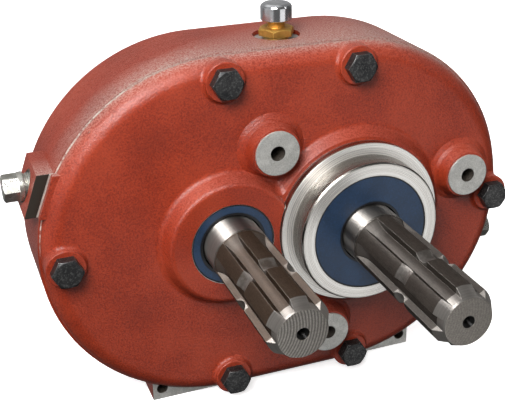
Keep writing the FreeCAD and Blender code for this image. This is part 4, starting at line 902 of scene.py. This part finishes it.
def softboxes(studio):
    """All lamps. Fill lamps leave out gloss, and what only bright metal mirrors leaves out diffuse light."""
    cover = (0, -0.03, 0.12)
    core = (0, 0, 0.12)
    gloss_only = ("diffuse",)
    fill_only = ("glossy",)
    softbox("softbox_front", (-0.38, -0.52, 0.68), cover, (0.424, 0.377), studio.key)
    softbox("softbox_glint", (-0.40, -0.49, 0.65), cover, (0.1, 0.1), studio.glint, gloss_only)
    softbox("softbox_back", (0.0, 1.7, 0.3), core, (1.2, 0.5), studio.back, fill_only)
    softbox("softbox_right", (1.2, -0.75, 0.75), (0, -0.05, 0.12), (0.15, 0.7), studio.strip)
    softbox("softbox_far", (1.5, 0.55, 0.6), core, (0.8, 0.8), studio.far, fill_only)
    softbox("softbox_card", (0.64, -1.25, -0.48), cover, (1.1, 1.1), studio.card, gloss_only)
    softbox("softbox_top", (-0.6, -0.45, 1.5), core, (0.7, 0.7), studio.side)


def surroundings(studio):
    """World with pale patches: each fades with the angle from its direction, and their light adds up."""
    world = bpy.data.worlds.new("surroundings")
    world.use_nodes = True
    tree = world.node_tree
    sky = tree.nodes["Background"]
    sky.inputs[0].default_value = (1, 1, 1, 1)
    way = tree.nodes.new("ShaderNodeTexCoord").outputs["Generated"]
    patches = []
    for aim, start, end, glow in (
            ((0.0, 0.94, 0.34), 0.15, 0.85, studio.air),
            ((-0.2, 0.25, 0.95), 0.80, 0.95, studio.ceiling),
            ((-0.97, -0.23, 0.0), 0.72, 0.84, studio.left_panel)):
        facing = tree.nodes.new("ShaderNodeVectorMath")
        facing.operation = "DOT_PRODUCT"
        facing.inputs[1].default_value = aim
        tree.links.new(way, facing.inputs[0])
        fade = tree.nodes.new("ShaderNodeMapRange")
        tree.links.new(facing.outputs["Value"], fade.inputs[0])
        for socket, value in zip(fade.inputs[1:5], (start, end, 0.02, glow)):
            socket.default_value = value
        patches.append(fade.outputs[0])
    total = patches[0]
    for patch in patches[1:]:
        adder = tree.nodes.new("ShaderNodeMath")
        tree.links.new(total, adder.inputs[0])
        tree.links.new(patch, adder.inputs[1])
        total = adder.outputs[0]
    tree.links.new(total, sky.inputs[1])
    return world


def picture_camera(studio):
    """Camera turned by azimuth, elevation and roll: back points from the view to the camera, across and up
    span the picture."""
    turn, rise, roll = studio.azimuth, studio.elevation, studio.roll
    back = Vector((math.sin(turn) * math.cos(rise), -math.cos(turn) * math.cos(rise), math.sin(rise)))
    right = Vector((math.cos(turn), math.sin(turn), 0))
    up = right.cross(-back)
    across = math.cos(roll) * right + math.sin(roll) * up
    upward = math.cos(roll) * up - math.sin(roll) * right
    lens = bpy.data.cameras.new("camera")
    lens.lens = studio.lens
    lens.sensor_width = SENSOR_WIDTH
    lens.sensor_fit = "HORIZONTAL"
    lens.clip_start = 0.01
    camera = bpy.data.objects.new("camera", lens)
    pose = Matrix((across, upward, back)).transposed().to_4x4()
    camera.matrix_world = Matrix.Translation(studio.place) @ pose
    bpy.context.scene.collection.objects.link(camera)
    return camera


class GEARBOX_OT_stage(bpy.types.Operator):
    """Set up the floor, the softboxes and the camera"""

    bl_idname = "gearbox.stage"
    bl_label = "Studio"

    def execute(self, context):
        scene = context.scene
        studio = scene.gearbox_studio
        scene.view_settings.view_transform = "Standard"
        floor = studio_sweep("studio_floor")
        floor.data.materials.append(pale_paper(studio))
        floor.visible_glossy = False
        floor.visible_diffuse = False
        floor.visible_shadow = False
        softboxes(studio)
        scene.world = surroundings(studio)
        scene.camera = picture_camera(studio)
        return {"FINISHED"}


OPERATORS = (
    GEARBOX_OT_castings,
    GEARBOX_OT_fasteners,
    GEARBOX_OT_shafts,
    GEARBOX_OT_bearings,
    GEARBOX_OT_seals,
    GEARBOX_OT_breather,
    GEARBOX_OT_threads,
    GEARBOX_OT_stage,
)

GROUPS = {
    "gearbox_paint": CastPaint,
    "gearbox_metal": MetalTones,
    "gearbox_threads": ThreadSizes,
    "gearbox_studio": Studio,
}


class GEARBOX_PT_pieces(bpy.types.Panel):
    """Sidebar list of the gearbox's pieces and settings"""

    bl_idname = "GEARBOX_PT_pieces"
    bl_label = "Gearbox"
    bl_space_type = "VIEW_3D"
    bl_region_type = "UI"
    bl_category = "Gearbox"

    def draw(self, context):
        for operator in OPERATORS:
            self.layout.operator(operator.bl_idname)
        for group in GROUPS:
            settings = getattr(context.scene, group)
            for name in settings.bl_rna.properties.keys():
                if name not in ("rna_type", "name"):
                    self.layout.prop(settings, name)


def register():
    """Make the settings, operators and panel known to Blender."""
    for name, group in GROUPS.items():
        bpy.utils.register_class(group)
        setattr(bpy.types.Scene, name, bpy.props.PointerProperty(type=group))
    for operator in OPERATORS:
        bpy.utils.register_class(operator)
    bpy.utils.register_class(GEARBOX_PT_pieces)


def unregister():
    """Take them away again."""
    bpy.utils.unregister_class(GEARBOX_PT_pieces)
    for operator in reversed(OPERATORS):
        bpy.utils.unregister_class(operator)
    for name, group in GROUPS.items():
        delattr(bpy.types.Scene, name)
        bpy.utils.unregister_class(group)


def main():
    """Run every operator in order."""
    register()
    bpy.ops.gearbox.castings()
    bpy.ops.gearbox.fasteners()
    bpy.ops.gearbox.shafts()
    bpy.ops.gearbox.bearings()
    bpy.ops.gearbox.seals()
    bpy.ops.gearbox.breather()
    bpy.ops.gearbox.threads()
    bpy.ops.gearbox.stage()


if __name__ == "__main__":
    main()
